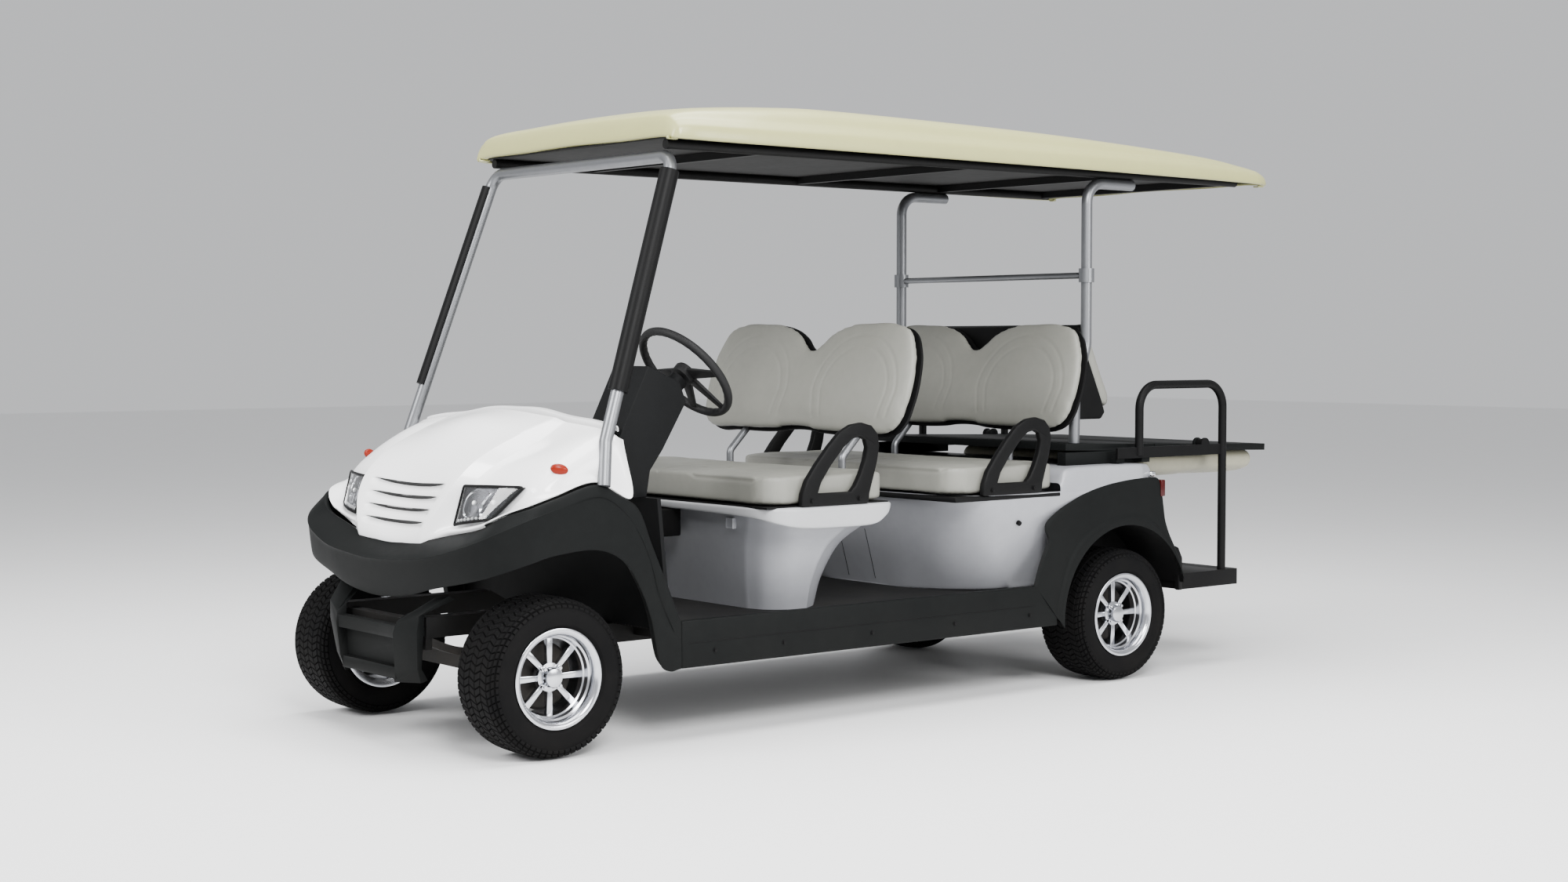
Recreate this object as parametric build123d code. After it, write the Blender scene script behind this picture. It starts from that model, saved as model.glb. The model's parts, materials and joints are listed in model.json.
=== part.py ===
from build123d import *
import os
from math import cos, radians, sin, tan

# Four-seat golf cart with a rear-facing flip seat that is stowed as a cargo deck.
# Millimetres. X = left, Y = rearward, Z = up. The origin is on the ground at mid-width, half-way
# between the front guard and the rear edge of the flip panel.

# ---- driving dimensions: running gear ----
WHEELBASE = 2333
FRONT_AXLE_Y = -1447
REAR_AXLE_Y = FRONT_AXLE_Y + WHEELBASE
WHEEL_X = 500            # wheel centre plane from the middle
TYRE_R = 230
TYRE_W = 205
BEAD_R = 127             # 10 inch rim
RIM_WALL = 8
RIM_FLANGE_R = 144
RIM_W = 194
RIM_DISC_X = 38          # wheel disc outboard of the centre plane
RIM_DISC_T = 12
SPOKES = 8
SPOKE_W = 17
HUB_R = 42
CAP_R = 30
BORE_GAP = 0.5             # running clearance on the spindle
SPINDLE_R = 14
KINGPIN_X = 372
KINGPIN_R = 10
PIN_GAP = 0.5
ARM_Y = 118              # steering arm length behind the kingpin
AXLE_Z = TYRE_R
BEAM_W = 50
BEAM_H = 50
KNUCKLE_R = 21
YOKE_H = 170

# ---- driving dimensions: chassis ----
RAIL_X = 240             # frame rail centre
RAIL_W = 50
RAIL_H = 60
RAIL_Z = 262             # underside of the rails between the axles
KICK_Z = 330             # underside of the rails above the axles
FRONT_KICK_Y = -1200
REAR_KICK_Y = 620
KICK_RUN = 130
SPRING_SPAN = 215        # half length of a leaf spring
HANGER_T = 20
FRAME_FRONT_Y = FRONT_AXLE_Y - SPRING_SPAN - HANGER_T
FRAME_REAR_Y = REAR_AXLE_Y + SPRING_SPAN + 79
SPRING_T = 24
SPRING_W = 46

# ---- driving dimensions: body ----
BODY_X = 600             # half width over fenders and sills
FLOOR_Z = 340
FLOOR_T = 12
FLOOR_REAR_Y = 455
SILL_Z = 219
SILL_TOP_Z = 360
SILL_W = 26
SHELL_T = 10
SEAT_Z = 672             # underside of the seat cushions
CUSHION_H = 95
CUSHION_X = 572
SEAT_PITCH = 770
FRONT_SEAT_Y = -680      # front edge of the front cushion
SEAT_DEPTH = 480
PAD_GAP = 0.3            # seat between pieces that rest on each other
RIM_T = 28

# ---- driving dimensions: canopy ----
ROOF_T = 16
RAIL_TUBE_R = 19
STRUT_X = 479
ROOF_RAIL_Z = 1745
CROSSBAR_Z = 1408

# ---- driving dimensions: steering and flip seat ----
STEER_X = 312
STEER_Y = -795
STEER_Z = 1084
STEER_R = 165
STEER_GRIP_R = 13
STEER_RAKE = 40.6        # wheel face leans back from upright
FLIP_Y = 1350
FLIP_Z = 797
FLIP_FRONT = 222         # panel ahead of its pivot
FLIP_REAR = 389          # panel behind its pivot
FLIP_X = 520
DECK_T = 24
DECK_SLOPE = 1.6
PIVOT_Z = FLIP_Z + DECK_T / 2 + 0.5
GRAB_X = 560
GRAB_R = 15
PLATE_T = 8              # side plates that carry the grab rails

os.makedirs("parts", exist_ok=True)


def box(x0, x1, y0, y1, z0, z1):
    """Block between two opposite corners."""
    size = (x1 - x0, y1 - y0, z1 - z0)
    return Pos((x0 + x1) / 2, (y0 + y1) / 2, (z0 + z1) / 2) * Box(*size)


def bar(start, end, radius):
    """Round bar between two points."""
    line = Line(start, end)
    ring = Plane(origin=start, z_dir=line % 0) * Circle(radius)
    return sweep(ring, path=line)


def bent_tube(points, bend, radius, bore=0):
    """Tube along straight runs joined by tangent arcs of one bend radius."""
    path = FilletPolyline(*points, radius=bend)
    ring = Circle(radius) - Circle(bore) if bore else Circle(radius)
    return sweep(Plane(origin=points[0], z_dir=path % 0) * ring, path=path)


def side_slab(profile, x0, x1):
    """Plate cut to a (y, z) outline, from x0 to x1."""
    face = make_face(Polyline(*[(x0, y, z) for y, z in profile], close=True))
    return extrude(face, amount=x1 - x0, dir=(1, 0, 0))


def plan_slab(profile, z0, z1):
    """Plate cut to an (x, y) outline, from z0 to z1."""
    face = make_face(Polyline(*[(x, y, z0) for x, y in profile], close=True))
    return extrude(face, amount=z1 - z0, dir=(0, 0, 1))


def front_slab(profile, y0, y1):
    """Plate cut to an (x, z) outline, from y0 to y1."""
    face = make_face(Polyline(*[(x, y0, z) for x, z in profile], close=True))
    return extrude(face, amount=y1 - y0, dir=(0, 1, 0))


def axle_disc(x0, x1, y, z, radius):
    """Disc on an axis along X."""
    return Pos((x0 + x1) / 2, y, z) * Rot(0, 90, 0) * Cylinder(radius, abs(x1 - x0))


def post(x, y, z0, z1, radius):
    """Upright pin."""
    return Pos(x, y, (z0 + z1) / 2) * Cylinder(radius, z1 - z0)


def other_side(solid):
    """The same piece on the right-hand side."""
    return mirror(solid, about=Plane.YZ)


def patch(a, b, c):
    """Triangle between three points."""
    return Face(Wire.make_polygon([a, b, c]))


def skin(outer_rows, inner_rows):
    """Closed panel between two equal grids of points."""
    outer = [[Vector(*p) for p in row] for row in outer_rows]
    inner = [[Vector(*p) for p in row] for row in inner_rows]
    faces = []
    last_row = len(outer) - 1
    last_col = len(outer[0]) - 1

    def quad(a, b, c, d):
        faces.append(patch(a, b, c))
        faces.append(patch(a, c, d))

    for i in range(last_row):
        for j in range(last_col):
            for grid in (outer, inner):
                quad(grid[i][j], grid[i][j + 1], grid[i + 1][j + 1], grid[i + 1][j])
    for i in range(last_row):
        for j in (0, last_col):
            quad(outer[i][j], outer[i + 1][j], inner[i + 1][j], inner[i][j])
    for j in range(last_col):
        for i in (0, last_row):
            quad(outer[i][j], outer[i][j + 1], inner[i][j + 1], inner[i][j])
    return Solid(Shell(faces))


def full(half_plan):
    """Whole plan outline from its left half."""
    return list(half_plan) + [(-x, y) for x, y in reversed(half_plan)]


def inset(half_plan, t):
    """Left half outline moved inward by about t."""
    mid_y = (half_plan[0][1] + half_plan[-1][1]) / 2
    return [(max(x - t, 0), y + t if y < mid_y else y - t) for x, y in half_plan]


def save(name, *solids):
    """Write one node."""
    pieces = []
    for solid in solids:
        pieces += list(solid.solids())
    shape = pieces[0] if len(pieces) == 1 else Compound(pieces)
    export_step(shape, "parts/" + name + ".step")


# ---- wheels ----
def tyre(x, y):
    """Tyre with rounded shoulders; outer side towards +X."""
    half = TYRE_W / 2
    bead = RIM_W / 2 - 5
    bead_side = ((bead, BEAD_R), (bead, RIM_FLANGE_R + 2))
    flank = bead_side + ((half - 3, RIM_FLANGE_R + 8), (half, RIM_FLANGE_R + 34))
    profile = Polyline(*flank, (half - 5, TYRE_R - 25))
    profile += ThreePointArc((half - 5, TYRE_R - 25), (half - 12, TYRE_R - 9), (half - 27, TYRE_R - 2))
    profile += ThreePointArc((half - 27, TYRE_R - 2), (0, TYRE_R), (27 - half, TYRE_R - 2))
    profile += ThreePointArc((27 - half, TYRE_R - 2), (12 - half, TYRE_R - 9), (5 - half, TYRE_R - 25))
    profile += Polyline((5 - half, TYRE_R - 25), *[(-x, r) for x, r in reversed(flank)])
    profile += Line((-bead, BEAD_R), (bead, BEAD_R))
    ring = revolve(make_face(profile), axis=Axis.X)
    return Pos(x, y, AXLE_Z) * ring


def rim(x, y, side):
    """Deep-lipped rim with a spoked disc, hub and centre cap."""
    half = RIM_W / 2
    barrel = Cylinder(BEAD_R - PAD_GAP, RIM_W - 8) - Cylinder(BEAD_R - RIM_WALL, RIM_W)
    lip = Cylinder(RIM_FLANGE_R, 4) - Cylinder(BEAD_R - RIM_WALL, 6)
    barrel += Pos(0, 0, half - 2) * lip
    barrel += Pos(0, 0, 2 - half) * lip
    disc = Cylinder(BEAD_R - RIM_WALL + 1, RIM_DISC_T)
    window_r0 = HUB_R + 6
    window_r1 = BEAD_R - RIM_WALL - 7
    window = Cylinder(window_r1, 2 * RIM_DISC_T) - Cylinder(window_r0, 3 * RIM_DISC_T)
    for k in range(SPOKES):
        spoke = Pos(window_r1 / 2, 0, 0) * Box(window_r1 + 4, SPOKE_W, 3 * RIM_DISC_T)
        window -= Rot(0, 0, 360 * k / SPOKES) * spoke
    disc -= window
    hub = Cylinder(HUB_R, 3 * RIM_DISC_T)
    cap = Pos(0, 0, 2.4 * RIM_DISC_T) * Cylinder(CAP_R, 2 * RIM_DISC_T)
    bore = Pos(0, 0, -RIM_DISC_T) * Cylinder(SPINDLE_R + BORE_GAP, 3 * RIM_DISC_T)
    wheel = barrel + Pos(0, 0, RIM_DISC_X) * (disc + hub + cap - bore)
    return Pos(x, y, AXLE_Z) * Rot(0, 90 * side, 0) * wheel


SPINDLE_END = WHEEL_X + RIM_DISC_X + 0.4 * RIM_DISC_T
HUB_INNER_X = WHEEL_X + RIM_DISC_X - 1.5 * RIM_DISC_T
for corner, side, axle_y in (
    ("front_left", 1, FRONT_AXLE_Y),
    ("front_right", -1, FRONT_AXLE_Y),
    ("rear_left", 1, REAR_AXLE_Y),
    ("rear_right", -1, REAR_AXLE_Y),
):
    save("tyre_" + corner, tyre(side * WHEEL_X, axle_y))
    save("rim_" + corner, rim(side * WHEEL_X, axle_y, side))


# ---- steering knuckles and tie rod ----
BALL_Z = AXLE_Z - 22


def knuckle(side):
    """Kingpin boss, spindle, back plate and steering arm."""
    yoke = YOKE_H / 2
    x = side * KINGPIN_X
    piece = post(x, FRONT_AXLE_Y, AXLE_Z - yoke + 26, AXLE_Z + yoke - 26, KNUCKLE_R)
    piece += post(x, FRONT_AXLE_Y, AXLE_Z - yoke, AXLE_Z + yoke, KINGPIN_R)
    piece += axle_disc(x, side * SPINDLE_END, FRONT_AXLE_Y, AXLE_Z, SPINDLE_R)
    piece += axle_disc(side * 425, side * 440, FRONT_AXLE_Y, AXLE_Z, 96)
    piece += axle_disc(x, side * (HUB_INNER_X - 6), FRONT_AXLE_Y, AXLE_Z, 26)
    y_end = FRONT_AXLE_Y + ARM_Y
    piece += box(x - 9, x + 9, FRONT_AXLE_Y, y_end + 11, AXLE_Z - 10, AXLE_Z + 10)
    piece += post(x, y_end, BALL_Z - 12, AXLE_Z, 6)
    return piece


save("knuckle_left", knuckle(1))
save("knuckle_right", knuckle(-1))
tie_y = FRONT_AXLE_Y + ARM_Y
tie = box(-KINGPIN_X, KINGPIN_X, tie_y - 8, tie_y + 8, BALL_Z - 10, BALL_Z + 6)
for side in (1, -1):
    tie += post(side * KINGPIN_X, tie_y, BALL_Z - 10, BALL_Z + 6, 15)
    tie -= post(side * KINGPIN_X, tie_y, BALL_Z - 20, BALL_Z + 20, 6 + PIN_GAP)
save("tie_rod", tie)

# ---- front axle ----
yoke = YOKE_H / 2
beam_end = KINGPIN_X - KNUCKLE_R - 6
beam_y = (FRONT_AXLE_Y - BEAM_W / 2, FRONT_AXLE_Y + BEAM_W / 2)
beam = box(-beam_end, beam_end, *beam_y, AXLE_Z - BEAM_H / 2, AXLE_Z + BEAM_H / 2)
for side in (1, -1):
    web_x = side * (beam_end - 8)
    beam += box(web_x - 8, web_x + 8, FRONT_AXLE_Y - 20, FRONT_AXLE_Y + 20, AXLE_Z - yoke, AXLE_Z + yoke)
    for low, high in ((-yoke, 20 - yoke), (yoke - 20, yoke)):
        lug_x = sorted((web_x, side * KINGPIN_X))
        lug = box(*lug_x, FRONT_AXLE_Y - 22, FRONT_AXLE_Y + 22, AXLE_Z + low, AXLE_Z + high)
        lug += post(side * KINGPIN_X, FRONT_AXLE_Y, AXLE_Z + low, AXLE_Z + high, 22)
        beam += lug
    beam -= post(side * KINGPIN_X, FRONT_AXLE_Y, AXLE_Z - yoke - 5, AXLE_Z + yoke + 5, KINGPIN_R + PIN_GAP)
save("front_axle", beam)

# ---- rear axle with gear case, and the motor ----
REAR_AXLE_R = 32
rear_axle = axle_disc(-(WHEEL_X - 60), WHEEL_X - 60, REAR_AXLE_Y, AXLE_Z, REAR_AXLE_R)
rear_axle += box(0, 110, REAR_AXLE_Y - 75, REAR_AXLE_Y + 200, AXLE_Z - 80, AXLE_Z + 85)
for side in (1, -1):
    rear_axle += axle_disc(side * 425, side * 440, REAR_AXLE_Y, AXLE_Z, 96)
    rear_axle += axle_disc(side * 400, side * (HUB_INNER_X - 6), REAR_AXLE_Y, AXLE_Z, 26)
    rear_axle += axle_disc(side * 400, side * SPINDLE_END, REAR_AXLE_Y, AXLE_Z, SPINDLE_R)
save("rear_axle", rear_axle)
save("drive_motor", axle_disc(-200, 0, REAR_AXLE_Y + 125, AXLE_Z + 10, 82))

# ---- frame ----
rail_profile = [
    (FRAME_FRONT_Y, KICK_Z),
    (FRONT_KICK_Y, KICK_Z),
    (FRONT_KICK_Y + KICK_RUN, RAIL_Z),
    (REAR_KICK_Y - KICK_RUN, RAIL_Z),
    (REAR_KICK_Y, KICK_Z),
    (FRAME_REAR_Y, KICK_Z),
    (FRAME_REAR_Y, KICK_Z + RAIL_H),
    (REAR_KICK_Y - 25, KICK_Z + RAIL_H),
    (REAR_KICK_Y - KICK_RUN - 15, RAIL_Z + RAIL_H),
    (FRONT_KICK_Y + KICK_RUN + 15, RAIL_Z + RAIL_H),
    (FRONT_KICK_Y + 25, KICK_Z + RAIL_H),
    (FRAME_FRONT_Y, KICK_Z + RAIL_H),
]
frame = None
for side in (1, -1):
    rail = side_slab(rail_profile, side * RAIL_X - RAIL_W / 2, side * RAIL_X + RAIL_W / 2)
    frame = rail if frame is None else frame + rail
    hanger_x = (side * RAIL_X - SPRING_W / 2, side * RAIL_X + SPRING_W / 2)
    for hanger_y in (
        FRONT_AXLE_Y - SPRING_SPAN - HANGER_T,
        FRONT_AXLE_Y + SPRING_SPAN,
        REAR_AXLE_Y - SPRING_SPAN - HANGER_T,
        REAR_AXLE_Y + SPRING_SPAN,
    ):
        frame += box(*hanger_x, hanger_y, hanger_y + HANGER_T, KICK_Z - 34, KICK_Z + 5)
# cross members: y, half width, underside
for cross_y, cross_x, cross_z in (
    (FRAME_FRONT_Y + 20, RAIL_X, KICK_Z + 5),
    (-940, BODY_X - SILL_W, RAIL_Z + 20),
    (-300, BODY_X - SILL_W, RAIL_Z + 20),
    (250, BODY_X - SILL_W, RAIL_Z + 20),
    (640, RAIL_X, KICK_Z + 10),
    (FRAME_REAR_Y - 20, RAIL_X, KICK_Z + 5),
):
    frame += box(-cross_x, cross_x, cross_y - 20, cross_y + 20, cross_z, cross_z + 40)
save("chassis_frame", frame)


def leaf_spring(x, axle_y, seat_z):
    """Bowed leaf pack that sits on the axle and meets the rail hangers."""
    end_z = KICK_Z - SPRING_T - PAD_GAP
    low = [(x, axle_y - SPRING_SPAN, end_z), (x, axle_y, seat_z), (x, axle_y + SPRING_SPAN, end_z)]
    high = [(px, py, pz + SPRING_T) for px, py, pz in low]
    outline = ThreePointArc(*low)
    outline += Line(low[2], high[2])
    outline += ThreePointArc(*high)
    outline += Line(high[0], low[0])
    face = make_face(outline)
    return extrude(face, amount=SPRING_W / 2, dir=(1, 0, 0), both=True)


springs = []
for side in (1, -1):
    springs.append(leaf_spring(side * RAIL_X, FRONT_AXLE_Y, AXLE_Z + BEAM_H / 2 + PAD_GAP))
    springs.append(leaf_spring(side * RAIL_X, REAR_AXLE_Y, AXLE_Z + REAR_AXLE_R + PAD_GAP))
save("leaf_springs", *springs)
BATTERY_Y = REAR_AXLE_Y - 596
BATTERY_Z = KICK_Z + RAIL_H + PAD_GAP
save("battery_pack", box(-330, 330, BATTERY_Y, BATTERY_Y + 360, BATTERY_Z, BATTERY_Z + 230))

# ---- floor and sills ----
FLOOR_FRONT_Y = -1040
floor = box(SILL_W - BODY_X, BODY_X - SILL_W, FLOOR_FRONT_Y, FLOOR_REAR_Y, FLOOR_Z - FLOOR_T - 5, FLOOR_Z)
save("floor_pan", floor)
SILL_FRONT_Y = FRONT_AXLE_Y + 424.5
SILL_REAR_Y = REAR_AXLE_Y - 331
sill_profile = [
    (SILL_FRONT_Y, SILL_Z),
    (SILL_REAR_Y, SILL_Z),
    (SILL_REAR_Y - 3, 300),
    (SILL_REAR_Y - 110, SILL_TOP_Z),
    (SILL_FRONT_Y, SILL_TOP_Z),
]
sill = side_slab(sill_profile, BODY_X - SILL_W, BODY_X)
save("side_sills", sill, other_side(sill))


# ---- front fender band: one black panel round the nose and down to the sills ----
# x, y, inward nx, ny, lower z, lower inset, crease z, upper z, upper inset
FENDER = (
    (0, -1717, 0.0, 1.0, 433, 20, 541, 588, 62),
    (311, -1702, -0.12, 0.99, 476, 15, 566, 624, 72),
    (474, -1672, -0.35, 0.94, 507, 12, 606, 652, 62),
    (560, -1620, -0.8, 0.6, 540, 10, 645, 686, 45),
    (600, -1540, -1.0, 0.0, 556, 8, 680, 710, 22),
    (600, -1446, -1.0, 0.0, 586, 8, 706, 738, 18),
    (600, -1312, -1.0, 0.0, 586, 8, 735, 772, 18),
    (600, -1223, -1.0, 0.0, 528, 6, 690, 733, 16),
    (600, -1169, -1.0, 0.0, 442, 4, 620, 694, 14),
    (600, -1142, -1.0, 0.0, 349, 4, 560, 630, 12),
    (600, -1096, -1.0, 0.0, 224, 2, 430, 525, 12),
    (600, -1023, -1.0, 0.0, SILL_Z, 2, 300, SILL_TOP_Z, 12),
)


def fender_row(x, y, nx, ny, low_z, low_in, mid_z, top_z, top_in, depth):
    """Lower edge, crease and upper edge of one station, moved inward by depth."""
    columns = ((low_z, low_in), (mid_z, 0), (top_z, top_in))
    return [(x + nx * (inset + depth), y + ny * (inset + depth), z) for z, inset in columns]


outer_rows = []
inner_rows = []
for depth, rows in ((0, outer_rows), (SHELL_T, inner_rows)):
    for station in FENDER:
        rows.append(fender_row(*station, depth))
band_half = skin(outer_rows, inner_rows)
fenders = band_half + other_side(band_half)
save("front_fenders", fenders)

# ---- hood: five points a row from the middle to the edge ----
# middle, nose crease, lamp inner line, lamp outer line, edge
HOOD = (
    ((0, -1653, 602), (184, -1653, 610), (275, -1624, 637), (380, -1616, 653), (448, -1608, 667)),
    ((0, -1628, 646), (210, -1642, 658), (287, -1592, 652), (430, -1555, 676), (520, -1588, 701)),
    ((0, -1590, 720), (250, -1616, 718), (282, -1572, 704), (470, -1523, 722), (572, -1540, 723)),
    ((0, -1560, 788), (272, -1570, 772), (280, -1550, 768), (520, -1490, 776), (578, -1446, 751)),
    ((0, -1500, 862), (276, -1490, 836), (290, -1478, 832), (536, -1400, 838), (578, -1312, 785)),
    ((0, -1385, 946), (276, -1361, 896), (300, -1350, 892), (540, -1310, 880), (578, -1190, 732)),
    ((0, -1240, 974), (276, -1240, 940), (310, -1238, 934), (520, -1230, 916), (572, -1215, 893)),
)
hood_inner = [[(x * 0.98, y + 9, z - 9) for x, y, z in row] for row in HOOD]
hood_half = skin(HOOD, hood_inner)
COWL_Y = -1232
COWL_W = 45.7
POST_R = 20
post_line = [(588, -1288, 766), (562, -1264, 892), (497, -975, 1727)]
post_room = bar(post_line[0], post_line[1], POST_R + 1.5) + bar(post_line[1], post_line[2], POST_R + 1.5)
post_room += Pos(*post_line[1]) * Sphere(POST_R + 1.5)
cowl_top = [(0, 979), (130, 978), (275, 960), (485, 944), (545, 925)]
cowl_low = [(x, z - 22) for x, z in reversed(cowl_top)]
cowl_half = front_slab(cowl_top + cowl_low, COWL_Y, COWL_Y + COWL_W) - post_room
hood_half = (hood_half - post_room - fenders).solids().sort_by(SortBy.VOLUME)[-1]
hood_shell = hood_half + other_side(hood_half)
save("hood", hood_shell, cowl_half + other_side(cowl_half))

# ---- lamps ----
# inner bottom, inner top, outer top, outer bottom of the lens
LAMP = ((296, -1597, 654), (290, -1560, 764), (508, -1503, 768), (436, -1562, 676))
lamp = skin(
    [[(x, y + 6, z) for x, y, z in LAMP[:2]], [(x, y + 6, z) for x, y, z in (LAMP[3], LAMP[2])]],
    [[(x, y - 14, z + 4) for x, y, z in LAMP[:2]], [(x, y - 14, z + 4) for x, y, z in (LAMP[3], LAMP[2])]],
)
lamp = (lamp - hood_shell).solids().sort_by(Axis.Y)[0]
save("headlights", lamp, other_side(lamp))
signal = Pos(549, -1417, 818) * Rot(0, 0, -15) * Rot(0, 78, 0) * Cylinder(17, 30)
signal = (signal - hood_shell).solids().sort_by(Axis.X)[-1]
save("turn_signals", signal, other_side(signal))

# ---- lower front guard: two cranked struts and two cross bars ----
GUARD_Y = -1739
guard = None
for side in (1, -1):
    strut = skin(
        [
            [(side * 150, -1722, 195), (side * 217, -1674, 195)],
            [(side * 165, -1730, 240), (side * 244, -1700, 240)],
            [(side * 172, GUARD_Y, 340), (side * 262, -1712, 345)],
            [(side * 178, -1730, 375), (side * 269, -1708, 396)],
            [(side * 235, -1640, 440), (side * 320, -1640, 455)],
        ],
        [
            [(side * 150, -1690, 200), (side * 217, -1650, 200)],
            [(side * 165, -1698, 240), (side * 244, -1686, 240)],
            [(side * 172, -1707, 335), (side * 262, -1690, 335)],
            [(side * 178, -1700, 393), (side * 269, -1690, 402)],
            [(side * 235, -1620, 432), (side * 320, -1620, 443)],
        ],
    )
    guard = strut if guard is None else guard + strut
    guard += box(side * RAIL_X - 15, side * RAIL_X + 15, -1700, FRAME_FRONT_Y, KICK_Z + 5, KICK_Z + 30)
guard += box(-180, 180, GUARD_Y + 6, GUARD_Y + 36, 325, 362)
guard += box(-160, 160, GUARD_Y + 14, GUARD_Y + 44, 205, 240)
guard += box(-175, 175, GUARD_Y + 34, GUARD_Y + 42, 230, 335)
save("front_guard", guard)

# ---- dashboard, bulkhead, column, wheel, pedals ----
DASH_X = 520
DASH_Z = 722
DASH_FRONT_Y = COWL_Y + COWL_W
DASH_LIP = (-1031, 861)
dash_knee = [DASH_LIP, (-1077, 800), (-1090, DASH_Z), (DASH_FRONT_Y, DASH_Z)]
shelf_profile = [(DASH_FRONT_Y, 918), (-1075, 928), (-1030, 905)] + dash_knee
binnacle_profile = [(DASH_FRONT_Y, 900), (-1083, 1108), (-969, 1059), (-945, 1000)] + dash_knee
BINNACLE_X = 342
dash = side_slab(shelf_profile, -DASH_X, BINNACLE_X) + side_slab(binnacle_profile, BINNACLE_X, DASH_X)
bulkhead_top = DASH_Z - PAD_GAP
bulkhead_foot = [(FLOOR_FRONT_Y - 13, FLOOR_Z - 10), (FLOOR_FRONT_Y, FLOOR_Z - 10)]
bulkhead_profile = bulkhead_foot + [(-1079, bulkhead_top), (-1092, bulkhead_top)]
bulkhead = side_slab(bulkhead_profile, -574, 574)
save("front_bulkhead", bulkhead)
SHAFT_R = 10
rake = radians(STEER_RAKE)
wheel_centre = Vector(STEER_X, STEER_Y, STEER_Z)
wheel_axis = Vector(0, cos(rake), sin(rake))
column = bar(wheel_centre - wheel_axis * 34, wheel_centre - wheel_axis * 345, 30) - dash
column -= bar(wheel_centre - wheel_axis * 30, wheel_centre - wheel_axis * 90, SHAFT_R + PIN_GAP)
save("dashboard", dash)
save("steering_column", column.solids().sort_by(Axis.Y)[-1])
wheel_plane = Plane(origin=wheel_centre, x_dir=(1, 0, 0), z_dir=wheel_axis)
wheel = Torus(STEER_R, STEER_GRIP_R) + Pos(0, 0, -8) * Cylinder(38, 34)
wheel += Pos(0, 0, -50) * Cylinder(SHAFT_R, 70)
for angle in (0, 62, 118, 180):
    wheel += Rot(0, 0, angle) * Pos(STEER_R / 2, 0, -4) * Box(STEER_R, 24, 8)
save("steering_wheel", wheel_plane * wheel)
pedals = []
for pedal_x, pedal_w, pedal_z in ((245, 90, 440), (395, 55, 430)):
    plate = Pos(pedal_x, -1000, pedal_z) * Rot(-28, 0, 0) * Box(pedal_w, 10, 120)
    arm = Pos(pedal_x, -1032, pedal_z + 5) * Box(14, 60, 14)
    pedals.append(plate + arm)
save("pedals", *[pedal - bulkhead for pedal in pedals])

# ---- windscreen frame and strut covers ----
frame_points = post_line + [(-x, y, z) for x, y, z in reversed(post_line)]
screen = bent_tube(frame_points, 55, POST_R) - fenders
screen = screen.solids().sort_by(SortBy.VOLUME)[-1]
save("windscreen_frame", screen)
low_pt = Vector(*post_line[1])
high_pt = Vector(*post_line[2])
run = (high_pt - low_pt).normalized()
cover_a = low_pt + run * 152
cover_b = low_pt + run * 838
cover = bar(cover_a, cover_b, POST_R + 9) - bar(cover_a, cover_b, POST_R + PAD_GAP)
cutter_plane = Plane(origin=cover_a, x_dir=Vector(0.8, -0.6, 0), z_dir=run)
cutter = cutter_plane * (Pos(-30 - 6, 0, 400) * Box(60, 90, 1800))
cover -= cutter
save("strut_covers", cover, other_side(cover))

# ---- canopy ----
# y, half width, edge z, lip z, shoulder z, crown z
ROOF = (
    (-1018, 545, 1776, 1800, 1812, 1822),
    (-985, 572, 1770, 1816, 1836, 1850),
    (-860, 594, 1768, 1826, 1868, 1888),
    (-600, 600, 1767, 1832, 1888, 1910),
    (-300, 600, 1766, 1834, 1894, 1918),
    (600, 600, 1762, 1828, 1880, 1902),
    (1300, 598, 1756, 1818, 1850, 1862),
    (1560, 594, 1753, 1806, 1822, 1828),
    (1692, 578, 1751, 1788, 1794, 1798),
)
roof_outer = []
roof_inner = []
for y, half, edge_z, lip_z, shoulder_z, crown_z in ROOF:
    columns = ((0, crown_z), (0.5, crown_z - 4), (0.86, shoulder_z), (0.985, lip_z), (1.0, edge_z))
    row = [(half * share, y, z) for share, z in columns]
    inner = [(x * 0.965, y * 0.99, z - ROOF_T) for x, y, z in row]
    inner[-1] = (row[-1][0] * 0.975, y * 0.99, edge_z + 2)
    roof_outer.append(row)
    roof_inner.append(inner)
roof_half = skin(roof_outer, roof_inner)
roof = roof_half + other_side(roof_half)
save("roof", roof)
LINER_Z = ROOF_RAIL_Z + 2 * 15 + 2
liner_plan = [(500, -1000), (560, -960), (590, -700), (590, 1500), (575, 1672)]
liner = plan_slab(full(liner_plan), LINER_Z, LINER_Z + 6) - roof
save("roof_liner", liner.solids().sort_by(SortBy.VOLUME)[-1])
RAIL_R = 15
rail_z = LINER_Z - RAIL_R
roof_frame = None
for side in (1, -1):
    rail = bar((side * STRUT_X, -990, rail_z), (side * STRUT_X, 1600, rail_z), RAIL_R)
    roof_frame = rail if roof_frame is None else roof_frame + rail
for cross_y in (-600, 300, 1000, 1570):
    roof_frame += box(-STRUT_X, STRUT_X, cross_y - 12, cross_y + 12, rail_z - 10, rail_z + 14)
save("roof_rails", roof_frame)

# ---- rear struts and their cross bar ----
DECK_TOP_Z = FLIP_Z + DECK_T / 2
FOOT_Y = 758


def deck_z(y):
    """Top of the sloped deck at y."""
    return DECK_TOP_Z + (FLIP_Y - y) * tan(radians(DECK_SLOPE))


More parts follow.
